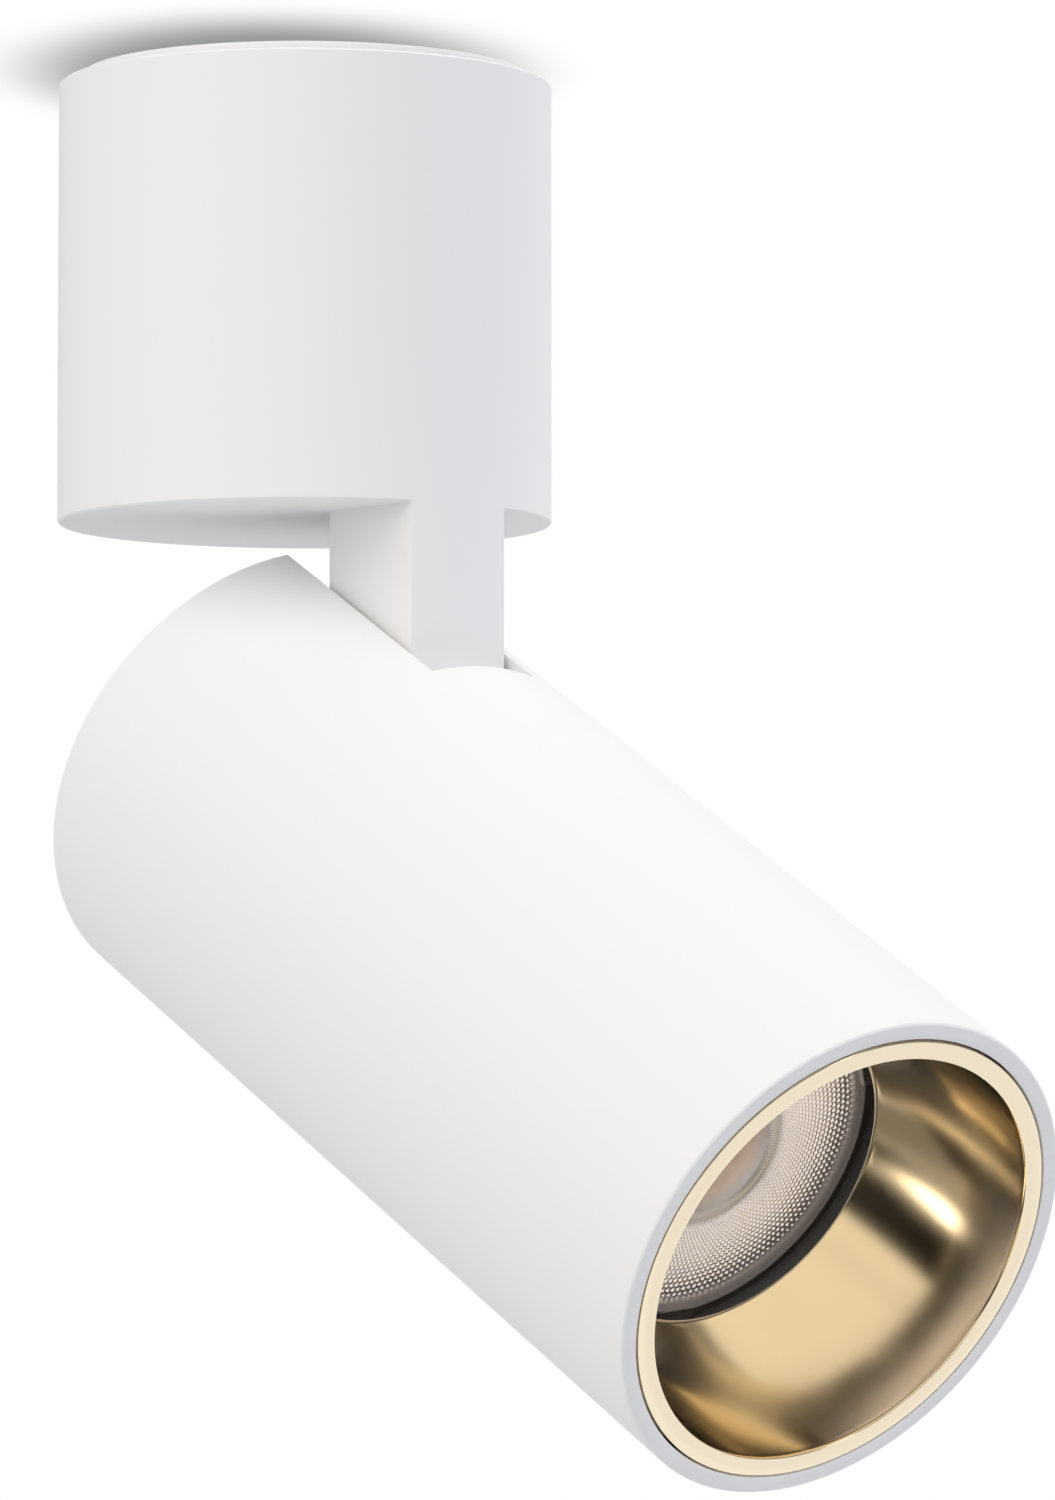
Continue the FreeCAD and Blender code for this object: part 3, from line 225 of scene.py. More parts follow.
class Graph(Tree):
    """A material's node tree, with its shader, its output and the object's coordinates."""

    def __init__(self, name: str) -> None:
        """Start an empty material with a shader and an output.

        Args:
            name: the material's name.
        """
        self.material = bpy.data.materials.new(name)
        self.material.use_nodes = True
        super().__init__(self.material.node_tree)
        self.tree.nodes.clear()
        self.output = self.node("ShaderNodeOutputMaterial")
        self.shader = self.node("ShaderNodeBsdfPrincipled")
        self.join(self.shader.outputs[0], self.output.inputs["Surface"])
        self.place = self.node("ShaderNodeTexCoord").outputs["Object"]

    def stretched(self, scale: Sequence[float]) -> bpy.types.NodeSocket:
        """Return the object coordinates scaled by a factor along each axis."""
        mapping = self.node("ShaderNodeMapping")
        return self.feed(mapping, Vector=self.place, Scale=scale).outputs["Vector"]

    def axis_radius(self, place: HeadPlace) -> bpy.types.NodeSocket:
        """Return the distance from the head's axis, from coordinates turned into the head's frame.

        Args:
            place: the head's frame.

        Returns:
            The radius's socket, in metres.
        """
        mapping = self.node("ShaderNodeMapping", vector_type="TEXTURE")
        self.feed(mapping, Vector=self.place, Location=tuple(place.rear), Rotation=(0, -place.tilt, 0))
        flat = self.vector_math("MULTIPLY", mapping.outputs["Vector"], (1, 1, 0))
        return self.vector_math("LENGTH", flat.outputs["Vector"]).outputs["Value"]

    def bands(self, value: bpy.types.NodeSocket, start: float, end: float,
              stops: Sequence[tuple[float, Sequence[float]]]) -> bpy.types.NodeSocket:
        """Return colours that follow one another along a value.

        Args:
            value: the source.
            start: the value at the first end of the row of colours.
            end: the value at its other end.
            stops: places from 0 to 1 and their colours.

        Returns:
            The colour's socket.
        """
        ramp = self.node("ShaderNodeValToRGB")
        self.join(self.spread(value, 0.0, 1.0, start, end), ramp.inputs[0])
        row = ramp.color_ramp.elements
        while len(row) < len(stops):
            row.new(0.5)
        for element, (place, colour) in zip(row, stops):
            element.position = place
        for element, (place, colour) in zip(row, stops):
            element.color = (*colour, 1)
        return ramp.outputs[0]

    def noise(self, scale: float, detail: float = 2.0, rough: float = 0.5,
              place: bpy.types.NodeSocket | None = None) -> bpy.types.NodeSocket:
        """Return a noise pattern from 0 to 1.

        Args:
            scale: cells in a metre.
            detail: octaves.
            rough: the share of the finer octaves.
            place: coordinates, or the object's own.

        Returns:
            The pattern's socket.
        """
        made = self.node("ShaderNodeTexNoise")
        self.feed(made, Vector=place or self.place, Scale=scale, Detail=detail, Roughness=rough)
        return made.outputs[0]

    def spread(self, value: bpy.types.NodeSocket, low: float, high: float,
               start: float = 0.3, end: float = 0.7) -> bpy.types.NodeSocket:
        """Return a value mapped from start to end onto low to high.

        Args:
            value: the source.
            low: the result at start.
            high: the result at end.
            start: the source's lower bound.
            end: the source's upper bound.

        Returns:
            The mapped value's socket.
        """
        made = self.node("ShaderNodeMapRange")
        self.feed(made, Value=value, From_Min=start, From_Max=end, To_Min=low, To_Max=high)
        return made.outputs[0]

    def bumps(self, height: bpy.types.NodeSocket, depth: float) -> None:
        """Set the shader's normal from a height pattern.

        Args:
            height: the pattern, from 0 to 1.
            depth: the height in metres where the pattern is 1.
        """
        bump = self.node("ShaderNodeBump")
        self.feed(bump, Height=height, Distance=depth, Strength=1.0)
        self.join(bump.outputs[0], self.shader.inputs["Normal"])

    def clouded(self, colour: Colour, darkest: float, cloud: bpy.types.NodeSocket) -> None:
        """Set the shader's colour, a little darker where a cloudy pattern is low.

        Args:
            colour: the colour.
            darkest: the darkest part's level, as a share of the colour.
            cloud: the pattern.
        """
        darker = tuple(darkest * part for part in colour)
        self.feed(self.shader, Base_Color=self.blend(cloud, darker, colour))

    def one_sided(self, shader: bpy.types.NodeSocket) -> None:
        """Show a shader on the faces' front and nothing on their back."""
        mix = self.node("ShaderNodeMixShader")
        self.join(self.node("ShaderNodeNewGeometry").outputs["Backfacing"], mix.inputs[0])
        self.join(shader, mix.inputs[1])
        self.join(self.node("ShaderNodeBsdfTransparent").outputs[0], mix.inputs[2])
        self.join(mix.outputs[0], self.output.inputs["Surface"])


@dataclass(frozen=True)
class PowderCoat:
    """A sprayed and baked matt coat with a very fine orange peel."""

    name: str
    colour: Colour
    roughness: float = 0.6
    shine: float = 0.2
    uneven: float = 0.04
    cloud_scale: float = 9.0
    darkest: float = 0.985
    peel_scale: float = 1400.0
    peel_depth: float = 0.012 * MM

    def make(self) -> bpy.types.Material:
        """Mix the coat's cloudy colour, uneven sheen and orange peel.

        Returns:
            The material.
        """
        g = Graph(self.name)
        g.clouded(self.colour, self.darkest, g.noise(self.cloud_scale, 3.0))
        peel = g.noise(self.peel_scale, 3.0, 0.55)
        sheen = g.spread(peel, self.roughness - self.uneven, self.roughness + self.uneven)
        g.feed(g.shader, Roughness=sheen, Specular_IOR_Level=self.shine)
        g.bumps(peel, self.peel_depth)
        return g.material


@dataclass(frozen=True)
class Metal:
    """A bare or plated metal with fine tool or rolling marks along one direction."""

    name: str
    colour: Colour
    roughness: float = 0.28
    marks: tuple[float, float, float] = (400.0, 400.0, 9000.0)
    mark_depth: float = 0.002 * MM
    cloud_scale: float = 120.0
    darkest: float = 0.88
    smoothest: float = 0.75
    roughest: float = 1.3

    def make(self) -> bpy.types.Material:
        """Mix the metal's cloudy colour and its fine marks.

        Returns:
            The material.
        """
        g = Graph(self.name)
        g.clouded(self.colour, self.darkest, g.noise(self.cloud_scale, 3.0))
        marks = g.noise(1.0, 3.0, 0.6, g.stretched(self.marks))
        sheen = g.spread(marks, self.roughness * self.smoothest, self.roughness * self.roughest)
        g.feed(g.shader, Metallic=1.0, Roughness=sheen)
        g.bumps(marks, self.mark_depth)
        return g.material


@dataclass(frozen=True)
class Moulded:
    """A moulded plastic or rubber with a fine spark-eroded grain."""

    name: str
    colour: Colour
    roughness: float = 0.5
    grain_scale: float = 3500.0
    grain_depth: float = 0.01 * MM
    uneven: float = 0.06
    cloud_scale: float = 60.0
    darkest: float = 0.93

    def make(self) -> bpy.types.Material:
        """Mix the plastic's cloudy colour and its grain.

        Returns:
            The material.
        """
        g = Graph(self.name)
        grain = g.noise(self.grain_scale, 2.0, 0.6)
        g.clouded(self.colour, self.darkest, g.noise(self.cloud_scale))
        sheen = g.spread(grain, self.roughness - self.uneven, self.roughness + self.uneven)
        g.feed(g.shader, Roughness=sheen)
        g.bumps(grain, self.grain_depth)
        return g.material


# ---------------------------------------------------------------- meshes


def linked(name: str, data: bpy.types.ID) -> bpy.types.Object:
    """Return a new object in the scene for a mesh, a light or a camera."""
    made = bpy.data.objects.new(name, data)
    bpy.context.scene.collection.objects.link(made)
    return made


def set_mesh(name: str, points: np.ndarray, faces: np.ndarray) -> bpy.types.Object:
    """Make an object from points and quads, closed at its poles and with its faces outwards.

    The sign of the enclosed volume, a sixth of the sum of a . (b x c) over the triangles, says
    whether the faces point outwards; if it is negative they are all turned round.

    Args:
        name: the piece's name.
        points: an array of n x 3 places in metres.
        faces: an array of m x 4 point numbers.

    Returns:
        The object, in the scene's collection.
    """
    fans = np.concatenate([faces[:, [0, 1, 2]], faces[:, [0, 2, 3]]])
    a, b, c = (points[fans[:, i]] for i in range(3))
    if np.einsum("ij,ij->i", a, np.cross(b, c)).sum() < 0:
        faces = faces[:, ::-1]
    mesh = bpy.data.meshes.new(name)
    mesh.from_pydata(points.tolist(), [], faces.tolist())
    work = bmesh.new()
    work.from_mesh(mesh)
    bmesh.ops.remove_doubles(work, verts=work.verts, dist=JOIN)
    bmesh.ops.dissolve_degenerate(work, edges=work.edges, dist=JOIN / 10)
    work.to_mesh(mesh)
    work.free()
    return linked(name, mesh)


def grid_faces(rows: int, columns: int, close_rows: bool, close_columns: bool) -> np.ndarray:
    """Return the quads of a grid of points numbered row by row.

    Args:
        rows: the number of rows.
        columns: the number of points in a row.
        close_rows: join the last row to the first.
        close_columns: join each row's last point to its first.

    Returns:
        An array of quads.
    """
    i = np.arange(rows if close_rows else rows - 1)[:, None]
    j = np.arange(columns if close_columns else columns - 1)[None, :]
    i_next, j_next = (i + 1) % rows, (j + 1) % columns
    corners = [i * columns + j, i * columns + j_next, i_next * columns + j_next, i_next * columns + j]
    return np.stack([np.broadcast_to(c, (i.size, j.size)).ravel() for c in corners], axis=1)


def rounded(profile: Sequence[Sequence[float]], radius: float, steps: int = 4) -> np.ndarray:
    """Return a closed outline with each corner turned into an arc.

    At a corner P between unit directions p and q to its neighbours, the arc leaves both sides
    at the distance radius / tan(half the angle), and runs between them on the circle that is
    tangent to both.  No arc takes more than 45% of a side.

    Args:
        profile: the outline's corners in order.
        radius: the wanted radius.
        steps: points on each arc, less one.

    Returns:
        An array of the outline's points.
    """
    corner = np.asarray(profile, float)
    before, after = np.roll(corner, 1, axis=0) - corner, np.roll(corner, -1, axis=0) - corner
    len_p, len_q = (np.linalg.norm(side, axis=1, keepdims=True) for side in (before, after))
    p, q = before / len_p, after / len_q
    half = 0.5 * np.arccos(np.clip((p * q).sum(1, keepdims=True), -1, 1))
    reach = np.minimum(radius / np.tan(half), 0.45 * np.minimum(len_p, len_q))
    bend = reach * np.tan(half)
    middle = (p + q) / np.linalg.norm(p + q, axis=1, keepdims=True)
    centre = corner + middle * (bend / np.sin(half))
    start, end = corner + p * reach - centre, corner + q * reach - centre
    t = np.linspace(0, 1, steps + 1)[None, :, None]
    spread = np.pi - 2 * half[:, :, None]
    arc = (start[:, None] * np.sin((1 - t) * spread) + end[:, None] * np.sin(t * spread)) / np.sin(spread)
    return (centre[:, None] + arc).reshape(-1, 2)


def smooth(piece: bpy.types.Object, angle: float = 32.0) -> bpy.types.Object:
    """Shade a piece smooth, with edges kept where its faces meet at more than an angle.

    Args:
        piece: the object.
        angle: the angle in degrees.

    Returns:
        The same object.
    """
    piece.data.shade_smooth()
    piece.data.set_sharp_from_angle(angle=math.radians(angle))
    return piece


def read(items: bpy.types.bpy_prop_collection, key: str, width: int = 1) -> np.ndarray:
    """Return one property of all of a mesh's points, corners or faces.

    Args:
        items: the points, corners or faces.
        key: the property's name.
        width: how many numbers one item has: 3 for a vector, 1 for a count or a number.

    Returns:
        An array with a row for each item, or a value for each if the width is 1.
    """
    got = np.empty((len(items), width), np.int32 if width == 1 else np.float32)
    items.foreach_get(key, got.ravel())
    return got if width > 1 else got[:, 0]


def rounded_light(piece: bpy.types.Object, start: Sequence[float], along: Sequence[float],
                  radius: float, play: float = 0.03 * MM) -> bpy.types.Object:
    """Set the normals of a piece's round wall straight out from its axis.

    With d the part of a corner's place that is square to the axis, a corner whose |d| is the
    radius, on a face whose normal lies along d, gets d / |d|.  The others keep their own normal.

    Args:
        piece: the object.
        start: a point on the axis.
        along: the axis's direction.
        radius: the wall's radius.
        play: how far a corner may be from the radius.

    Returns:
        The same object.
    """
    mesh = piece.data
    points, faces = read(mesh.vertices, "co", 3), read(mesh.polygons, "normal", 3)
    normals = read(mesh.corner_normals, "vector", 3)
    axis = np.asarray(along, float) / np.linalg.norm(along)
    arm = points[read(mesh.loops, "vertex_index")] - np.asarray(start, float)
    arm = arm - (arm @ axis)[:, None] * axis
    length = np.linalg.norm(arm, axis=1)
    out = arm / np.maximum(length, 1e-9)[:, None]
    facing = (np.repeat(faces, read(mesh.polygons, "loop_total"), axis=0) * out).sum(1)
    on_wall = (np.abs(length - radius) < play) & (facing > STRAIGHT_OUT)
    normals[on_wall] = out[on_wall]
    mesh.normals_split_custom_set(normals.tolist())
    return piece


def softened(node: str, name: str, width: float, angle: float = 40.0) -> bpy.types.Object:
    """Copy a CAD node with its edges rounded, as sprayed or cast edges are.

    The loose triangles are merged, flat faces are joined, and each edge sharper than the angle
    gets a three-step round of the given width.

    Args:
        node: the CAD node.
        name: the new piece's name.
        width: the round's width in metres.
        angle: the least angle of an edge that is rounded, in degrees.

    Returns:
        The new object, which replaces the node.
    """
    mesh = NODES[node].data.copy()
    mesh.name = name
    work = bmesh.new()
    work.from_mesh(mesh)
    bmesh.ops.remove_doubles(work, verts=work.verts, dist=CAD_JOIN)
    bmesh.ops.dissolve_limit(work, angle_limit=math.radians(FLAT), verts=work.verts, edges=work.edges)
    limit = math.radians(angle)
    sharp = [e for e in work.edges if len(e.link_faces) == 2 and e.calc_face_angle() > limit]
    bmesh.ops.bevel(work, geom=sharp, offset=width, segments=3, profile=0.5, affect="EDGES",
                    offset_type="WIDTH", clamp_overlap=True)
    work.to_mesh(mesh)
    work.free()
    mesh.materials.clear()
    made = linked(name, mesh)
    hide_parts(node)
    return smooth(made)


# ---------------------------------------------------------------- finishes in use

WHITE_COAT = PowderCoat("white_powder_coat", (0.90, 0.90, 0.895))
ZINC = Metal("zinc_plated_steel", (0.62, 0.62, 0.60))
ALUMINIUM = Metal("machined_aluminium", (0.72, 0.73, 0.74), 0.32)
RUBBER = Moulded("black_rubber", (0.012, 0.012, 0.012), 0.7)
WHITE_PLASTIC = Moulded("white_plastic", (0.78, 0.78, 0.76))
BROWN_PLASTIC = Moulded("dark_brown_plastic", (0.095, 0.078, 0.060), 0.42)
BOARD = Moulded("green_board", (0.01, 0.09, 0.03), 0.35)
COMPONENT = Moulded("dark_component", (0.02, 0.02, 0.022), 0.4)
SOLDER_MASK = Moulded("white_solder_mask", (0.8, 0.8, 0.77), 0.35)
PHOSPHOR = Moulded("phosphor", (0.85, 0.45, 0.05), 0.6, 6000.0)
SHEATH = Moulded("lead_sheath", (0.02, 0.02, 0.02), 0.45)


@dataclass(frozen=True)
class PolishedGold:
    """Polished, gold anodised aluminium."""

    name: str = "polished_gold"
    colour: Colour = (0.935, 0.82, 0.625)
    roughness: float = 0.13
    uneven: float = 0.1
    cloud_scale: float = 90.0
    darkest: float = 0.97

    def make(self) -> bpy.types.Material:
        """Mix the anodised metal's slightly cloudy colour and sheen.

        Returns:
            The material.
        """
        g = Graph(self.name)
        cloud = g.noise(self.cloud_scale)
        g.clouded(self.colour, self.darkest, cloud)
        sheen = g.spread(cloud, self.roughness * (1 - self.uneven), self.roughness * (1 + self.uneven))
        g.feed(g.shader, Metallic=1.0, Roughness=sheen)
        return g.material


@dataclass(frozen=True)
class Optic:
    """The moulded lens, coloured with painted light: a painted amber image of the chip seen through it, grey
    round it, a pinkish painted reflection over its facets, and a painted dark band and painted highlight at
    its rim.

    Where a colour starts or ends is a share of the reach, from the lens's axis.
    """

    place: HeadPlace
    name: str = "moulded_lens"
    metal_middle: float = 0.5
    metal_facets: float = 0.8
    metal_rim: float = 0.3
    reach: float = 27.0 * MM
    painted_chip_amber_end: float = 0.27
    grey_start: float = 0.36
    middle_end: float = 0.43
    facets_start: float = 0.46
    facets_end: float = 0.87
    rim_start: float = 0.90
    # where the painted shade band and the painted highlight at the rim's edge start
    painted_rim_shade_at: float = 0.95
    painted_edge_highlight_at: float = 0.98
    # painted refraction: amber that stands in for the yellow chip seen through the clear lens
    painted_chip_amber: Colour = (0.92, 0.70, 0.57)
    grey: Colour = (0.64, 0.59, 0.57)
    # painted reflection: a pale pink brightness over the facets in place of the light they send back
    painted_reflection_pink: Colour = (1.0, 0.93, 0.92)
    frosted: Colour = (0.84, 0.74, 0.70)
    # painted shade and painted highlight: a dark band near the rim and a bright line at its edge
    painted_rim_shade: Colour = (0.66, 0.58, 0.55)
    painted_edge_highlight: Colour = (0.95, 0.92, 0.92)
    smoothest: float = 0.12
    roughest: float = 0.22
    cloud_scale: float = 700.0
    darkest: float = 0.86
    grain_scale: float = 2600.0
    grain_depth: float = 0.06 * MM

    def make(self) -> bpy.types.Material:
        """Colour the lens by the distance from its axis, with a fine grain outside its middle.

        Returns:
            The material.
        """
        g = Graph(self.name)
        g.feed(g.shader, Coat_Weight=0.8, Coat_Roughness=0.05)
        radius = g.axis_radius(self.place)
        levels = (self.metal_middle, self.metal_facets, self.metal_rim)
        middle, faceted, rim = [(level,) * 3 for level in levels]
        ends = (0.0, self.middle_end, self.facets_start, self.facets_end, self.rim_start)
        rings = tuple(zip(ends, (middle, middle, faceted, faceted, rim)))
        g.join(g.bands(radius, 0.0, self.reach, rings), g.shader.inputs["Metallic"])
        # the colour rings hold painted light: the chip's amber, the facets' reflection, the rim's shade and
        # highlight
        colour = g.bands(radius, 0.0, self.reach, (
            (0.0, self.painted_chip_amber), (self.painted_chip_amber_end, self.painted_chip_amber), (self.grey_start, self.grey),
            (self.middle_end, self.grey), (self.facets_start, self.painted_reflection_pink), (self.facets_end, self.painted_reflection_pink),
            (self.rim_start, self.frosted), (self.painted_rim_shade_at, self.painted_rim_shade), (self.painted_edge_highlight_at, self.painted_edge_highlight)))
        cloud = g.noise(self.cloud_scale, 3.0)
        shade = g.blend(cloud, (self.darkest,) * 3, (1, 1, 1))
        g.join(g.blend(1.0, colour, shade, "MULTIPLY"), g.shader.inputs["Base Color"])
        g.feed(g.shader, Roughness=g.spread(cloud, self.smoothest, self.roughest))
        grained = g.bands(radius, 0.0, self.reach, (
            (0.0, (0, 0, 0)), (self.middle_end, (0, 0, 0)), (self.facets_start, (1, 1, 1))))
        grain = g.blend(grained, (0.5, 0.5, 0.5), g.noise(self.grain_scale, 2.0, 0.6))
        g.bumps(grain, self.grain_depth)
        return g.material


class Finishes:
    """The finished materials, each made once."""

    def __init__(self) -> None:
        """Start with none made."""
        self.made: dict[str, bpy.types.Material] = {}

    def of(self, finish: object) -> bpy.types.Material:
        """Return a finish's material, made on its first use."""
        if finish.name not in self.made:
            self.made[finish.name] = finish.make()
        return self.made[finish.name]


FINISHES = Finishes()


def dress(piece: bpy.types.Object, finish: object) -> bpy.types.Object:
    """Give an object one finish all over.

    Args:
        piece: the object.
        finish: the finish.

    Returns:
        The same object.
    """
    piece.data.materials.clear()
    piece.data.materials.append(FINISHES.of(finish))
    return piece


# ---------------------------------------------------------------- sub-assemblies


@dataclass
class Baffle:
    """The polished bowl and its face ring, spun from one sheet."""

    place: HeadPlace
    mouth: float = 31.9 * MM
    throat: float = 24.75 * MM
    rim: float = 34.65 * MM
    sheet: float = 1.0 * MM
    deep: float = 26.4 * MM
    skirt: float = 7.0 * MM
    bend: float = 58.0 * MM
    edge: float = 0.18 * MM
    steps: int = 40
    segments: int = 256

    def wall(self, offset: float) -> np.ndarray:
        """Return the wall's outline from the mouth to the throat.

        It is the arc of the bend's radius through both ends, with its middle away from the axis,
        so the wall stands nearly straight at the mouth.  A point is centre + (bend + offset)
        (cos a, sin a) for angles a that change evenly.

        Args:
            offset: how far outside the polished side the outline lies.

        Returns:
            An array of (radius, height).
        """
        mouth = np.array([self.mouth, -self.place.length])
        throat = np.array([self.throat, self.deep - self.place.length])
        chord = throat - mouth
        half = np.linalg.norm(chord) / 2
        inward = np.array([-chord[1], chord[0]]) / (2 * half)
        centre = (mouth + throat) / 2 + inward * math.sqrt(self.bend ** 2 - half ** 2)
        ends = [math.atan2(*(point - centre)[::-1]) for point in (mouth, throat)]
        a = np.linspace(*ends, self.steps + 1)[:, None]
        return centre + (self.bend + offset) * np.hstack([np.cos(a), np.sin(a)])

    def build(self) -> list[bpy.types.Object]:
        """Turn the bowl as one sheet and polish it.

        The inner wall's radius falls from the mouth to the throat along its depth; the outer
        side lies one sheet's thickness behind it, and the face ring is flat.

        Returns:
            The bowl.
        """
        face = -self.place.length
        rim = rounded([
            (self.rim, face), (self.rim, face + self.skirt), (self.rim - self.sheet, face + self.skirt),
            (self.rim - self.sheet, face + self.sheet), (self.mouth + self.sheet, face + self.sheet),
            self.wall(self.sheet)[-1], self.wall(0)[-1], (self.mouth, face)], self.edge).reshape(8, -1, 2)
        outer, inner = self.wall(self.sheet)[3:-1], self.wall(0)[1:-1]
        outline = np.concatenate([*rim[:5], outer, rim[5], rim[6], inner[::-1], rim[7]])
        bowl = self.place.turned("polished_bowl", outline, self.segments)
        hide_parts("baffle")
        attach(bowl, "head")
        return [dress(bowl, PolishedGold())]


@dataclass
class Lens:
    """The moulded lens with rings of small facets round a smooth middle."""

    place: HeadPlace
    depth: float = 31.0 * MM
    radius: float = 27.0 * MM
    tall: float = 17.0 * MM
    tail: float = 10.0 * MM
    rim_tall: float = 2.5 * MM
    shoulder: float = 2.5 * MM
    middle: float = 11.5 * MM
    patterned: float = 24.0 * MM
    facets: int = 150
    facet_steps: int = 5
    middle_rows: int = 14
    facet_rows: int = 92
    relief: float = 0.24 * MM
    dish: float = 0.9 * MM
    edge: float = 0.5 * MM
    margin: float = 0.3 * MM
    crease: float = 50.0

    def build(self) -> list[bpy.types.Object]:
        """Build the lens as rings of points about the head's axis.

        Over the patterned ring the front is lower by the relief times (1 - (w + 1/2) / (3/2)),
        with w the mean of the cosines of three waves, 60 degrees apart, of (log r, angle).  That
        keeps each facet six-sided while it grows with the radius.

        Returns:
            The lens.
        """
        front = -(self.place.length - self.depth)
        t = np.linspace(0, 2 * np.pi, self.facets * self.facet_steps, endpoint=False)[None, :]
        inner = np.linspace(POLE, self.middle, self.middle_rows)
        ring = np.exp(np.linspace(math.log(self.middle), math.log(self.patterned), self.facet_rows))[1:]
        outer = np.array([self.patterned + self.margin, self.radius - 2 * self.edge, self.radius - self.edge,
                          self.radius])
        r = np.concatenate([inner, ring, outer])[:, None]
        u = self.facets * np.log(np.maximum(r, self.middle) / self.middle)
        v = self.facets * t
        slant = u / math.sqrt(3)
        wave = (np.cos(2 * slant) + np.cos(slant + v) + np.cos(slant - v)) / 3
        on_ring = ((r >= self.middle) & (r <= self.patterned)).astype(float)
        drop = self.relief * (1 - (wave + 0.5) / 1.5) * on_ring
        drop = drop + self.dish * np.clip(1 - (r / self.middle) ** 2, 0, 1)
        drop[-1] = self.edge
        z = front + drop
        top = np.stack([r * np.cos(t), r * np.sin(t), z + 0 * t], axis=2)
        back = [(self.radius, front + self.rim_tall), (self.radius - self.shoulder, front + self.rim_tall),
                (self.tail, front + self.tall), (POLE, front + self.tall)]
        rows = [np.stack([radius * np.cos(t[0]), radius * np.sin(t[0]), np.full(t.size, height)], axis=1)
                for radius, height in back]
        local = np.concatenate([top, np.array(rows)]).reshape(-1, 3)
        faces = grid_faces(len(local) // t.size, t.size, False, True)
        lens = smooth(set_mesh("faceted_lens", self.place.world(local), faces), self.crease)
        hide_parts("lens")
        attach(lens, "head")
        return [dress(lens, Optic(self.place))]


# half the width of a cross recess's arm, as a share of its reach
ARM_HALF = 0.26


class Recess(Enum):
    """The drive recess in a screw's head, by its number of sides or arms."""

    HEX = 6
    CROSS = 4

    def edge(self, t: np.ndarray) -> np.ndarray:
        """Return how far the recess reaches at each angle, as a share of its reach.

        With a the angle from the middle of the nearest side or arm, a hexagon reaches
        cos 30 degrees / cos a, and a cross the lesser of 1 / cos a and its half width / |sin a|.

        Args:
            t: the angles.

        Returns:
            The shares.
        """
        step = 2 * np.pi / self.value
        a = (t + step / 2) % step - step / 2
        if self is Recess.HEX:
            return math.cos(math.pi / 6) / np.cos(a)
        return np.minimum(1 / np.cos(a), ARM_HALF / np.maximum(np.abs(np.sin(a)), POLE))


class Facing(Enum):
    """Which way the heads of a set of screws point."""

    UP = "up"
    DOWN = "down"
    REAR = "to the head's rear"
    MOUTH = "to the head's mouth"
    OUTWARD = "out from the canopy's axis"


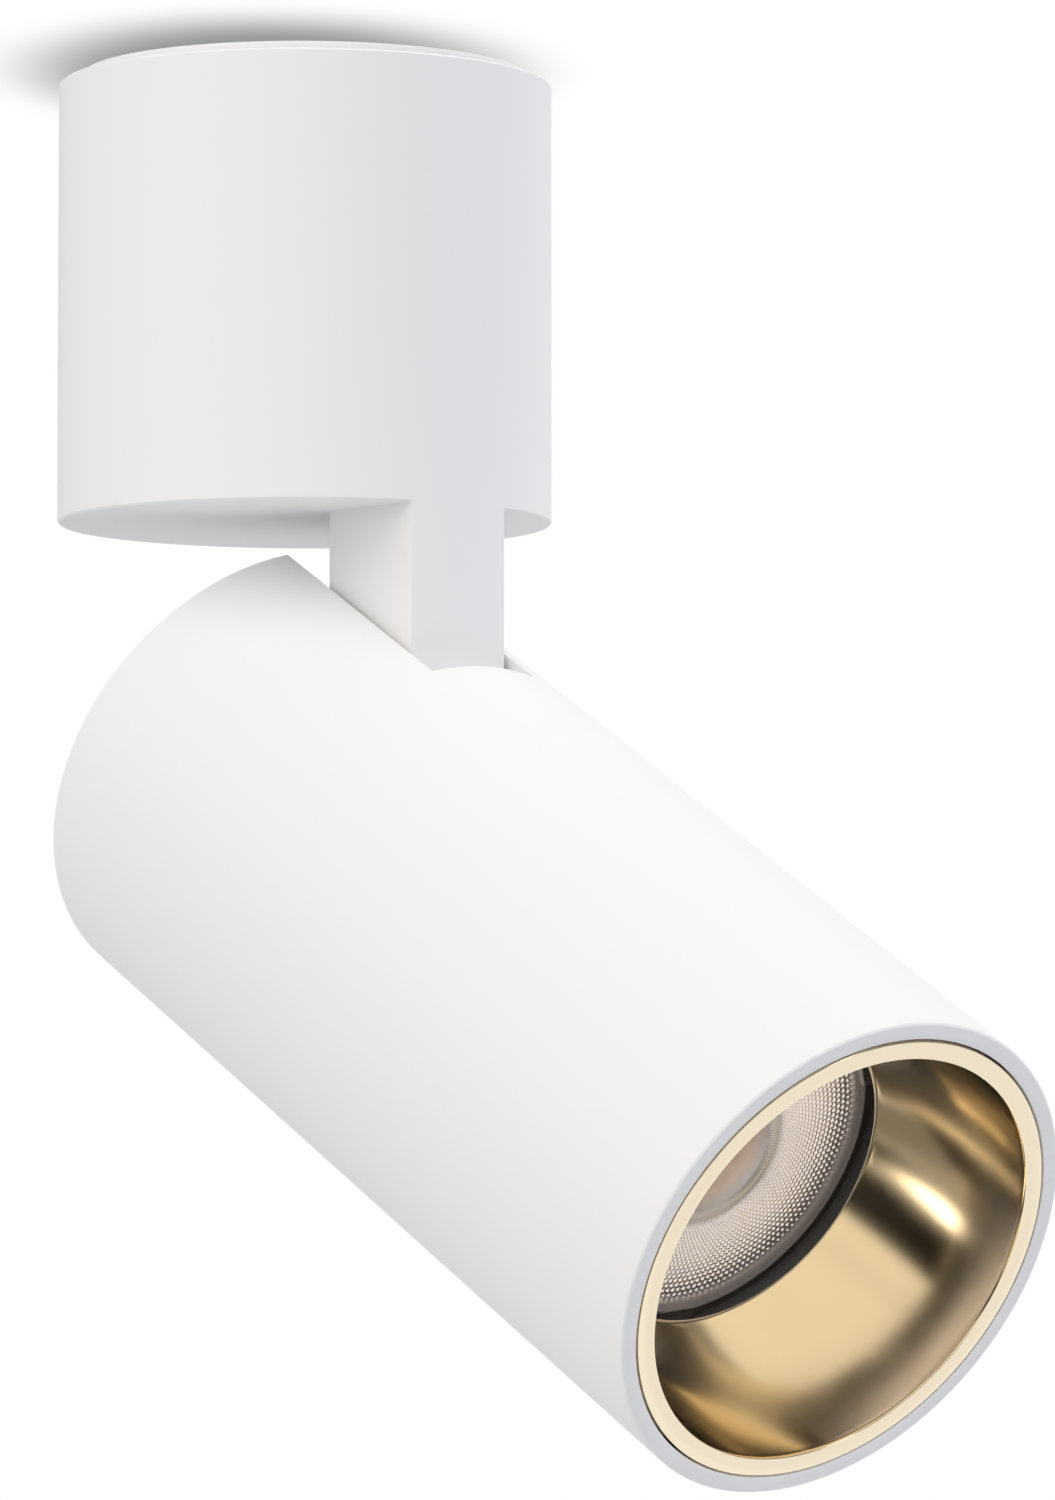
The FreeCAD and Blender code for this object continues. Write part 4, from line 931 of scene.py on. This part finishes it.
@dataclass
class Screws:
    """The screws of one CAD node, turned anew with rounded edges and a drive recess."""

    node: str
    body: str
    facing: Facing
    recess: Recess
    place: HeadPlace
    edge: float = 0.15 * MM
    grain: float = 0.02 * MM
    straight: float = 0.2
    reach: float = 0.52
    depth: float = 0.9 * MM
    lip: float = 0.06 * MM
    flare: float = 1.05
    foot: float = 0.9
    aslant: tuple[float, float, float] = (0.31, 0.67, 0.21)
    segments: int = 48

    def way(self, middle: np.ndarray) -> np.ndarray:
        """Find the direction from a screw's shank to its head.

        Args:
            middle: a place in the screw.

        Returns:
            The direction, of length 1.
        """
        if self.facing is Facing.OUTWARD:
            out = middle * (1, 1, 0)
            return out / np.linalg.norm(out)
        rear = self.place.axes[2]
        ways = {Facing.UP: (0, 0, 1), Facing.DOWN: (0, 0, -1), Facing.REAR: rear, Facing.MOUTH: -rear}
        return np.array(ways[self.facing], float)

    def loose(self) -> list[np.ndarray]:
        """Part the node's mesh into its screws.

        Every point starts with its own number, and the two ends of each edge take the lesser of
        theirs until nothing changes, so that each screw's points share one number.

        Returns:
            The points of each screw.
        """
        work = bmesh.new()
        work.from_mesh(NODES[self.node].data)
        bmesh.ops.remove_doubles(work, verts=work.verts, dist=CAD_JOIN)
        work.verts.index_update()
        points = np.array([v.co for v in work.verts])
        first, second = np.array([[v.index for v in e.verts] for e in work.edges]).T
        work.free()
        mark = np.arange(len(points))
        while True:
            low = np.minimum(mark[first], mark[second])
            new = mark.copy()
            np.minimum.at(new, first, low)
            np.minimum.at(new, second, low)
            if (new == mark).all():
                return [points[mark == one] for one in np.unique(mark)]
            mark = new

    def grid(self, points: np.ndarray) -> np.ndarray:
        """Return one screw's rows of points.

        The CAD screw's circles give the outline's corners (radius, height), of which those in a
        straight side are left out.  They are rounded and turned, as centre + r (u cos t + v sin t)
        + height w, and the head's middle goes down into the recess, whose rows have the recess's
        edge in place of a circle.

        Args:
            points: the CAD screw's points.

        Returns:
            An array of rows x segments x 3.
        """
        w = self.way(points.mean(0))
        u = np.cross(w, self.aslant)
        u /= np.linalg.norm(u)
        v = np.cross(w, u)
        centre = points.mean(0) - (points.mean(0) @ w) * w
        height = points @ w
        radius = np.linalg.norm(points - centre - height[:, None] * w, axis=1)
        pairs = np.round(np.stack([height, radius], 1) / self.grain)
        corners = np.unique(pairs, axis=0)[:, ::-1] * self.grain
        corners = corners[corners[:, 0] > self.edge]
        low, high, wide = corners[0, 1], corners[-1, 1], corners[-1, 0]
        side = np.diff(np.array([(0, low), *corners, (0, high)]), axis=0)
        side /= np.linalg.norm(side, axis=1, keepdims=True)
        corners = corners[np.abs(side[:-1, 0] * side[1:, 1] - side[:-1, 1] * side[1:, 0]) > self.straight]
        arcs = rounded([(0, low), *corners, (0, high)], self.edge).reshape(len(corners) + 2, -1, 2)
        rows = np.concatenate([[(0, low)], arcs[1:-1].reshape(-1, 2)])
        t = np.linspace(0, 2 * np.pi, self.segments, endpoint=False)
        reach, floor = self.reach * wide, high - self.depth
        sink = np.array([(reach * self.flare, high), (reach, high - self.lip), (reach * self.foot, floor),
                         (0, floor)])
        r = np.concatenate([rows[:, :1] * np.ones(t.size), sink[:, :1] * self.recess.edge(t)])[:, :, None]
        z = np.concatenate([rows, sink])[:, 1, None, None]
        return centre + r * (u * np.cos(t)[:, None] + v * np.sin(t)[:, None]) + z * w

    def build(self) -> bpy.types.Object:
        """Turn the whole set as one piece and plate it.

        Returns:
            The piece.
        """
        grids = np.array([self.grid(points) for points in self.loose()])
        count, rows = grids.shape[:2]
        one = grid_faces(rows, self.segments, False, True)
        faces = one + np.arange(count)[:, None, None] * rows * self.segments
        made = set_mesh(f"turned_{self.node}", grids.reshape(-1, 3), faces.reshape(-1, 4))
        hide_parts(self.node)
        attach(made, self.body)
        return dress(smooth(made), ZINC)


def dressed(finish: object, names: str) -> list[bpy.types.Object]:
    """Give CAD nodes a finish.

    Args:
        finish: the finish.
        names: the nodes' names, with spaces between.

    Returns:
        The nodes.
    """
    return [dress(NODES[name], finish) for name in names.split()]


def coated(node: str, name: str, body: str, width: float) -> bpy.types.Object:
    """Copy a CAD node with rounded edges and give it the white coat.

    Args:
        node: the CAD node.
        name: the new piece's name.
        body: the body that it rides on.
        width: the width of its rounded edges.

    Returns:
        The new piece.
    """
    made = dress(softened(node, name, width), WHITE_COAT)
    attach(made, body)
    return made


@dataclass
class CeilingBase:
    """What is fixed to the ceiling: the plate, its hub, grommet, washer and stop."""

    place: HeadPlace
    edge: float = 0.15 * MM

    def build(self) -> list[bpy.types.Object]:
        """Finish the plate and what hangs it.

        Returns:
            The pieces.
        """
        plate = coated("ceiling_plate", "coated_plate", "base", self.edge)
        screws = Screws("hub_screws", "base", Facing.UP, Recess.CROSS, self.place).build()
        return [plate, screws, *dressed(ZINC, "swivel_hub wave_washer plate_stop"),
                *dressed(RUBBER, "cable_grommet"), *dressed(SHEATH, "supply_lead")]


@dataclass
class Canopy:
    """The cast canopy with its arm, and the ring that carries it."""

    place: HeadPlace
    radius: float = 37.5 * MM
    edge: float = 0.3 * MM

    def build(self) -> list[bpy.types.Object]:
        """Finish the casting, its ring and its screws.

        Returns:
            The pieces.
        """
        casting = coated("canopy", "cast_canopy", "canopy_body", self.edge)
        rounded_light(casting, (0, 0, 0), (0, 0, 1), self.radius)
        grubs = Screws("grub_screws", "canopy_body", Facing.OUTWARD, Recess.HEX, self.place).build()
        earth = Screws("earth_screw", "canopy_body", Facing.DOWN, Recess.CROSS, self.place).build()
        return [casting, grubs, earth, *dressed(ALUMINIUM, "carrier_ring"), *dressed(ZINC, "carrier_stop")]


@dataclass
class Driver:
    """The driver, its board and its terminals, hidden in the canopy."""

    place: HeadPlace

    def build(self) -> list[bpy.types.Object]:
        """Finish the driver and its terminals.

        Returns:
            The pieces.
        """
        screws = Screws("driver_screws", "canopy_body", Facing.UP, Recess.CROSS, self.place).build()
        return [screws, *dressed(ZINC, "terminal_screws"), *dressed(BOARD, "driver_board"),
                *dressed(WHITE_PLASTIC, "driver_case driver_lid terminal_block"),
                *dressed(COMPONENT, "driver_parts"), *dressed(SHEATH, "driver_lead")]


@dataclass
class Pivot:
    """The hollow pivot through the arm, with its nut and washers."""

    def build(self) -> list[bpy.types.Object]:
        """Finish the tube, its nut and its washers.

        Returns:
            The pieces.
        """
        return [*dressed(ZINC, "pivot_tube pivot_nut pivot_spring_washer"),
                *dressed(WHITE_PLASTIC, "friction_washers")]


@dataclass
class HeadHousing:
    """The head's tube, rear cap and yoke, with their screws."""

    place: HeadPlace
    radius: float = 37.5 * MM
    edge: float = 0.25 * MM
    cap_edge: float = 0.2 * MM

    def build(self) -> list[bpy.types.Object]:
        """Finish the tube, the cap and the yoke.

        Returns:
            The pieces.
        """
        tube = coated("head_tube", "coated_tube", "head", self.edge)
        rounded_light(tube, self.place.rear, self.place.axes[2], self.radius)
        cap = coated("rear_cap", "coated_cap", "head", self.cap_edge)
        cap_screws = Screws("cap_screws", "head", Facing.REAR, Recess.HEX, self.place).build()
        yoke_screws = Screws("yoke_screws", "head", Facing.REAR, Recess.HEX, self.place).build()
        return [tube, cap, cap_screws, yoke_screws, *dressed(WHITE_COAT, "pivot_yoke"),
                *dressed(SHEATH, "head_lead")]


@dataclass
class LightEngine:
    """The heat sink, the board and its chip, and what holds the lens and the bowl."""

    place: HeadPlace

    def build(self) -> list[bpy.types.Object]:
        """Finish the heat sink, the board and the holders.

        Returns:
            The pieces.
        """
        screws = [Screws(name, "head", Facing.MOUTH, Recess.CROSS, self.place).build()
                  for name in ("board_screws", "holder_screws")]
        return [*screws, *dressed(ALUMINIUM, "heat_sink"), *dressed(SOLDER_MASK, "led_board led_frame"),
                *dressed(PHOSPHOR, "led_emitter"), *dressed(BROWN_PLASTIC, "lens_holder"),
                *dressed(ZINC, "lens_clips baffle_clips")]


# ---------------------------------------------------------------- stage, light and camera


@dataclass(frozen=True)
class Card:
    """A round softbox or flag that only reflections see, with a soft edge."""

    side: float
    height: float
    core: float = 5.0
    edge: float = 15.0
    level: float = 1.0

    def way(self) -> Vector:
        """Return the direction that it stands in."""
        turn, rise = math.radians(self.side), math.radians(self.height)
        return Vector((math.cos(rise) * math.cos(turn), math.cos(rise) * math.sin(turn), math.sin(rise)))


@dataclass(frozen=True)
class Lamp:
    """A wide, far and soft lamp.

    Its side is the compass angle that it stands at, in degrees from +X, and its height the angle
    above the horizon.  Its colour is its light on a surface that faces it, as a share of white.
    """

    name: str
    side: float
    height: float
    colour: Colour
    spread: float = 70.0

    def build(self) -> None:
        """Hang the lamp, aimed at the part."""
        strength = max(self.colour)
        data = bpy.data.lights.new(self.name, "SUN")
        data.angle = math.radians(self.spread)
        data.energy = math.pi * strength
        data.color = [part / strength for part in self.colour]
        made = linked(self.name, data)
        made.rotation_euler = (-Card(self.side, self.height).way()).to_track_quat("-Z", "Y").to_euler()
        made.visible_glossy = False


@dataclass
class Studio:
    """The ceiling, the far floor, the lamps and the world."""

    ambient: Colour = (0.384, 0.395, 0.424)
    horizon: tuple[float, float] = (-0.12, 0.0)
    dim: float = 0.42
    cards: tuple[Card, ...] = (
        Card(38, 8, 16, 26, 0.0),
        Card(0, 14, 6, 12, 0.02),
        Card(328, 5, 12, 22, 0.25),
        Card(328, -14, 8, 14, 0.2),
        Card(10, 27, 4, 10, 5.0),
        Card(56, -38, 8, 14, 0.93),
    )
    lamps: tuple[Lamp, ...] = (
        Lamp("right_softbox", 0, 30, (0.282, 0.283, 0.293)),
        Lamp("back_softbox", 90, 30, (0.473, 0.471, 0.454)),
        Lamp("left_softbox", 270, 30, (0.470, 0.444, 0.396)),
        Lamp("top_softbox", 0, 90, (0.032, 0.039, 0.054)),
        Lamp("floor_bounce", 243, -37, (0.090, 0.092, 0.097)),
    )
    ceiling_radius: float = 0.6
    ceiling_gap: float = 0.2 * MM
    floor_drop: float = 1.3
    floor_radius: float = 1.2
    # the painted shadow on the ceiling: its turn, middle, reach, fade and depth
    shadow_turn: float = 49.625
    shadow_middle: tuple[float, float, float] = (-1.8 * MM, -5.2 * MM, 0.0)
    shadow_reach: tuple[float, float] = (34.8 * MM, 48.5 * MM)
    shadow_fade: tuple[float, float] = (0.52, 1.48)
    shadow_depth: float = 0.69

    def sheet(self, name: str, radius: float, height: float, down: bool) -> bpy.types.Object:
        """Return a round flat sheet of the stage.

        Args:
            name: its name.
            radius: its radius.
            height: its level.
            down: whether its face points down.

        Returns:
            The object.
        """
        t = np.linspace(0, 2 * np.pi, 96, endpoint=False)
        ring = np.stack([radius * np.cos(t), radius * np.sin(t), np.full(t.size, height)], axis=1)
        mesh = bpy.data.meshes.new(name)
        order = list(range(t.size))
        mesh.from_pydata(ring.tolist(), [], [order[::-1] if down else order])
        made = linked(name, mesh)
        return made

    def ceiling(self) -> bpy.types.Object:
        """Make the ceiling: white to the eye, with a painted shadow, a soft dark ellipse beside the canopy
        that is set in the ceiling's own coordinates and cast by no lamp.

        Returns:
            The ceiling.
        """
        made = self.sheet("ceiling", self.ceiling_radius, self.ceiling_gap, True)
        g = Graph("ceiling_painted_shadow")
        # painted shadow: the white emission is darkened inside a soft ellipse near the canopy
        mapping = g.node("ShaderNodeMapping", vector_type="TEXTURE")
        g.feed(mapping, Vector=g.place, Location=self.shadow_middle, Scale=(*self.shadow_reach, 1),
               Rotation=(0, 0, math.radians(self.shadow_turn)))
        far = g.vector_math("LENGTH", mapping.outputs[0]).outputs["Value"]
        fade = g.node("ShaderNodeMapRange", interpolation_type="SMOOTHERSTEP")
        g.feed(fade, Value=far, From_Min=self.shadow_fade[0], From_Max=self.shadow_fade[1],
               To_Min=1 - self.shadow_depth, To_Max=1.0)
        g.one_sided(g.feed(g.node("ShaderNodeEmission"), Color=fade.outputs[0]).outputs[0])
        made.data.materials.append(g.material)
        for ray in ("diffuse", "glossy", "transmission", "shadow"):
            setattr(made, f"visible_{ray}", False)
        return made

    def floor(self) -> bpy.types.Object:
        """Make the pale floor, far below.

        Returns:
            The floor.
        """
        made = self.sheet("floor", self.floor_radius, -self.floor_drop, False)
        g = Graph("pale_floor")
        g.join(g.blend(g.noise(2.0), (0.8, 0.8, 0.8), (0.82, 0.82, 0.82)), g.shader.inputs["Base Color"])
        g.feed(g.shader, Roughness=0.8)
        path = g.node("ShaderNodeLightPath").outputs
        seen = g.peak(g.peak(path["Is Camera Ray"], path["Is Glossy Ray"]), path["Is Transmission Ray"])
        mix = g.node("ShaderNodeMixShader")
        g.join(seen, mix.inputs[0])
        g.join(g.shader.outputs[0], mix.inputs[1])
        g.join(g.node("ShaderNodeEmission").outputs[0], mix.inputs[2])
        g.one_sided(mix.outputs[0])
        made.data.materials.append(g.material)
        made.visible_shadow = False
        return made

    def world(self) -> None:
        """Light everything evenly, and show plain white to the eye.

        Reflections see the same white below the horizon, and above it the dim room with its
        softboxes and flags.
        """
        world = bpy.data.worlds.new("studio")
        bpy.context.scene.world = world
        world.use_nodes = True
        w = Tree(world.node_tree)
        way = w.node("ShaderNodeTexCoord").outputs["Generated"]
        rise = w.feed(w.node("ShaderNodeSeparateXYZ"), Vector=way).outputs["Z"]
        level = w.mixed(w.eased(rise, *self.horizon), 1.0, self.dim)
        for card in self.cards:
            near = w.vector_math("DOT_PRODUCT", way, card.way()).outputs["Value"]
            edge, core = (math.cos(math.radians(angle)) for angle in (card.edge, card.core))
            level = w.mixed(w.eased(near, edge, core), level, card.level)
        path = w.node("ShaderNodeLightPath").outputs
        mirror = w.peak(path["Is Glossy Ray"], path["Is Transmission Ray"])
        colour = w.blend(w.peak(mirror, path["Is Camera Ray"]), self.ambient, (1, 1, 1))
        w.feed(world.node_tree.nodes["Background"], Color=colour, Strength=w.mixed(mirror, 1.0, level))

    def build(self) -> None:
        """Make the whole studio."""
        self.ceiling()
        self.floor()
        self.world()
        for lamp in self.lamps:
            lamp.build()


@dataclass
class PhotoCamera:
    """The camera that the photograph's outlines were fitted to, in canopy diameters and degrees."""

    heading: float = 49.625
    pitch: float = 4.0992
    across: float = 0.4516
    above: float = -1.5534
    distance: float = 15.2869
    focal: float = 7584.16
    picture_height: float = 1500.0

    def build(self) -> bpy.types.Object:
        """Return the camera, aimed level by its heading and then up by its pitch."""
        low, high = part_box("canopy")
        unit = high.y - low.y
        a, p = math.radians(self.heading), math.radians(self.pitch)
        level = Vector((-math.sin(a), math.cos(a), 0))
        right = Vector((math.cos(a), math.sin(a), 0))
        up = Vector((0, 0, 1))
        forward = level * math.cos(p) + up * math.sin(p)
        over = up * math.cos(p) - level * math.sin(p)
        underside = Vector((0, 0, self.underside()))
        data = bpy.data.cameras.new("photo_camera")
        data.sensor_width = 36.0
        data.lens = self.focal / self.picture_height * data.sensor_width
        data.clip_start, data.clip_end = 0.05, 50.0
        made = linked("photo_camera", data)
        made.matrix_world = Matrix((right, over, -forward)).transposed().to_4x4()
        made.location = underside + (up * self.above + right * self.across - level * self.distance) * unit
        bpy.context.scene.camera = made
        return made

    @staticmethod
    def underside() -> float:
        """Return the level of the canopy's underside: its rim's lowest points."""
        points = read(NODES["canopy"].data.vertices, "co", 3)
        return float(points[points[:, 0] < 0][:, 2].min())


def main() -> None:
    """Build and dress every piece, then the studio and the camera."""
    logging.basicConfig(level=logging.INFO, format="%(message)s")
    place = HeadPlace()
    parts = (CeilingBase(place), Canopy(place), Driver(place), Pivot(), HeadHousing(place),
             LightEngine(place), Baffle(place), Lens(place))
    for part in parts:
        for piece in part.build():
            LOG.info("%s: %s, %d faces", type(part).__name__, piece.name, len(piece.data.polygons))
    Studio().build()
    PhotoCamera().build()
    scene = bpy.context.scene
    scene.view_settings.view_transform = "Standard"


if __name__ == "__main__":
    main()
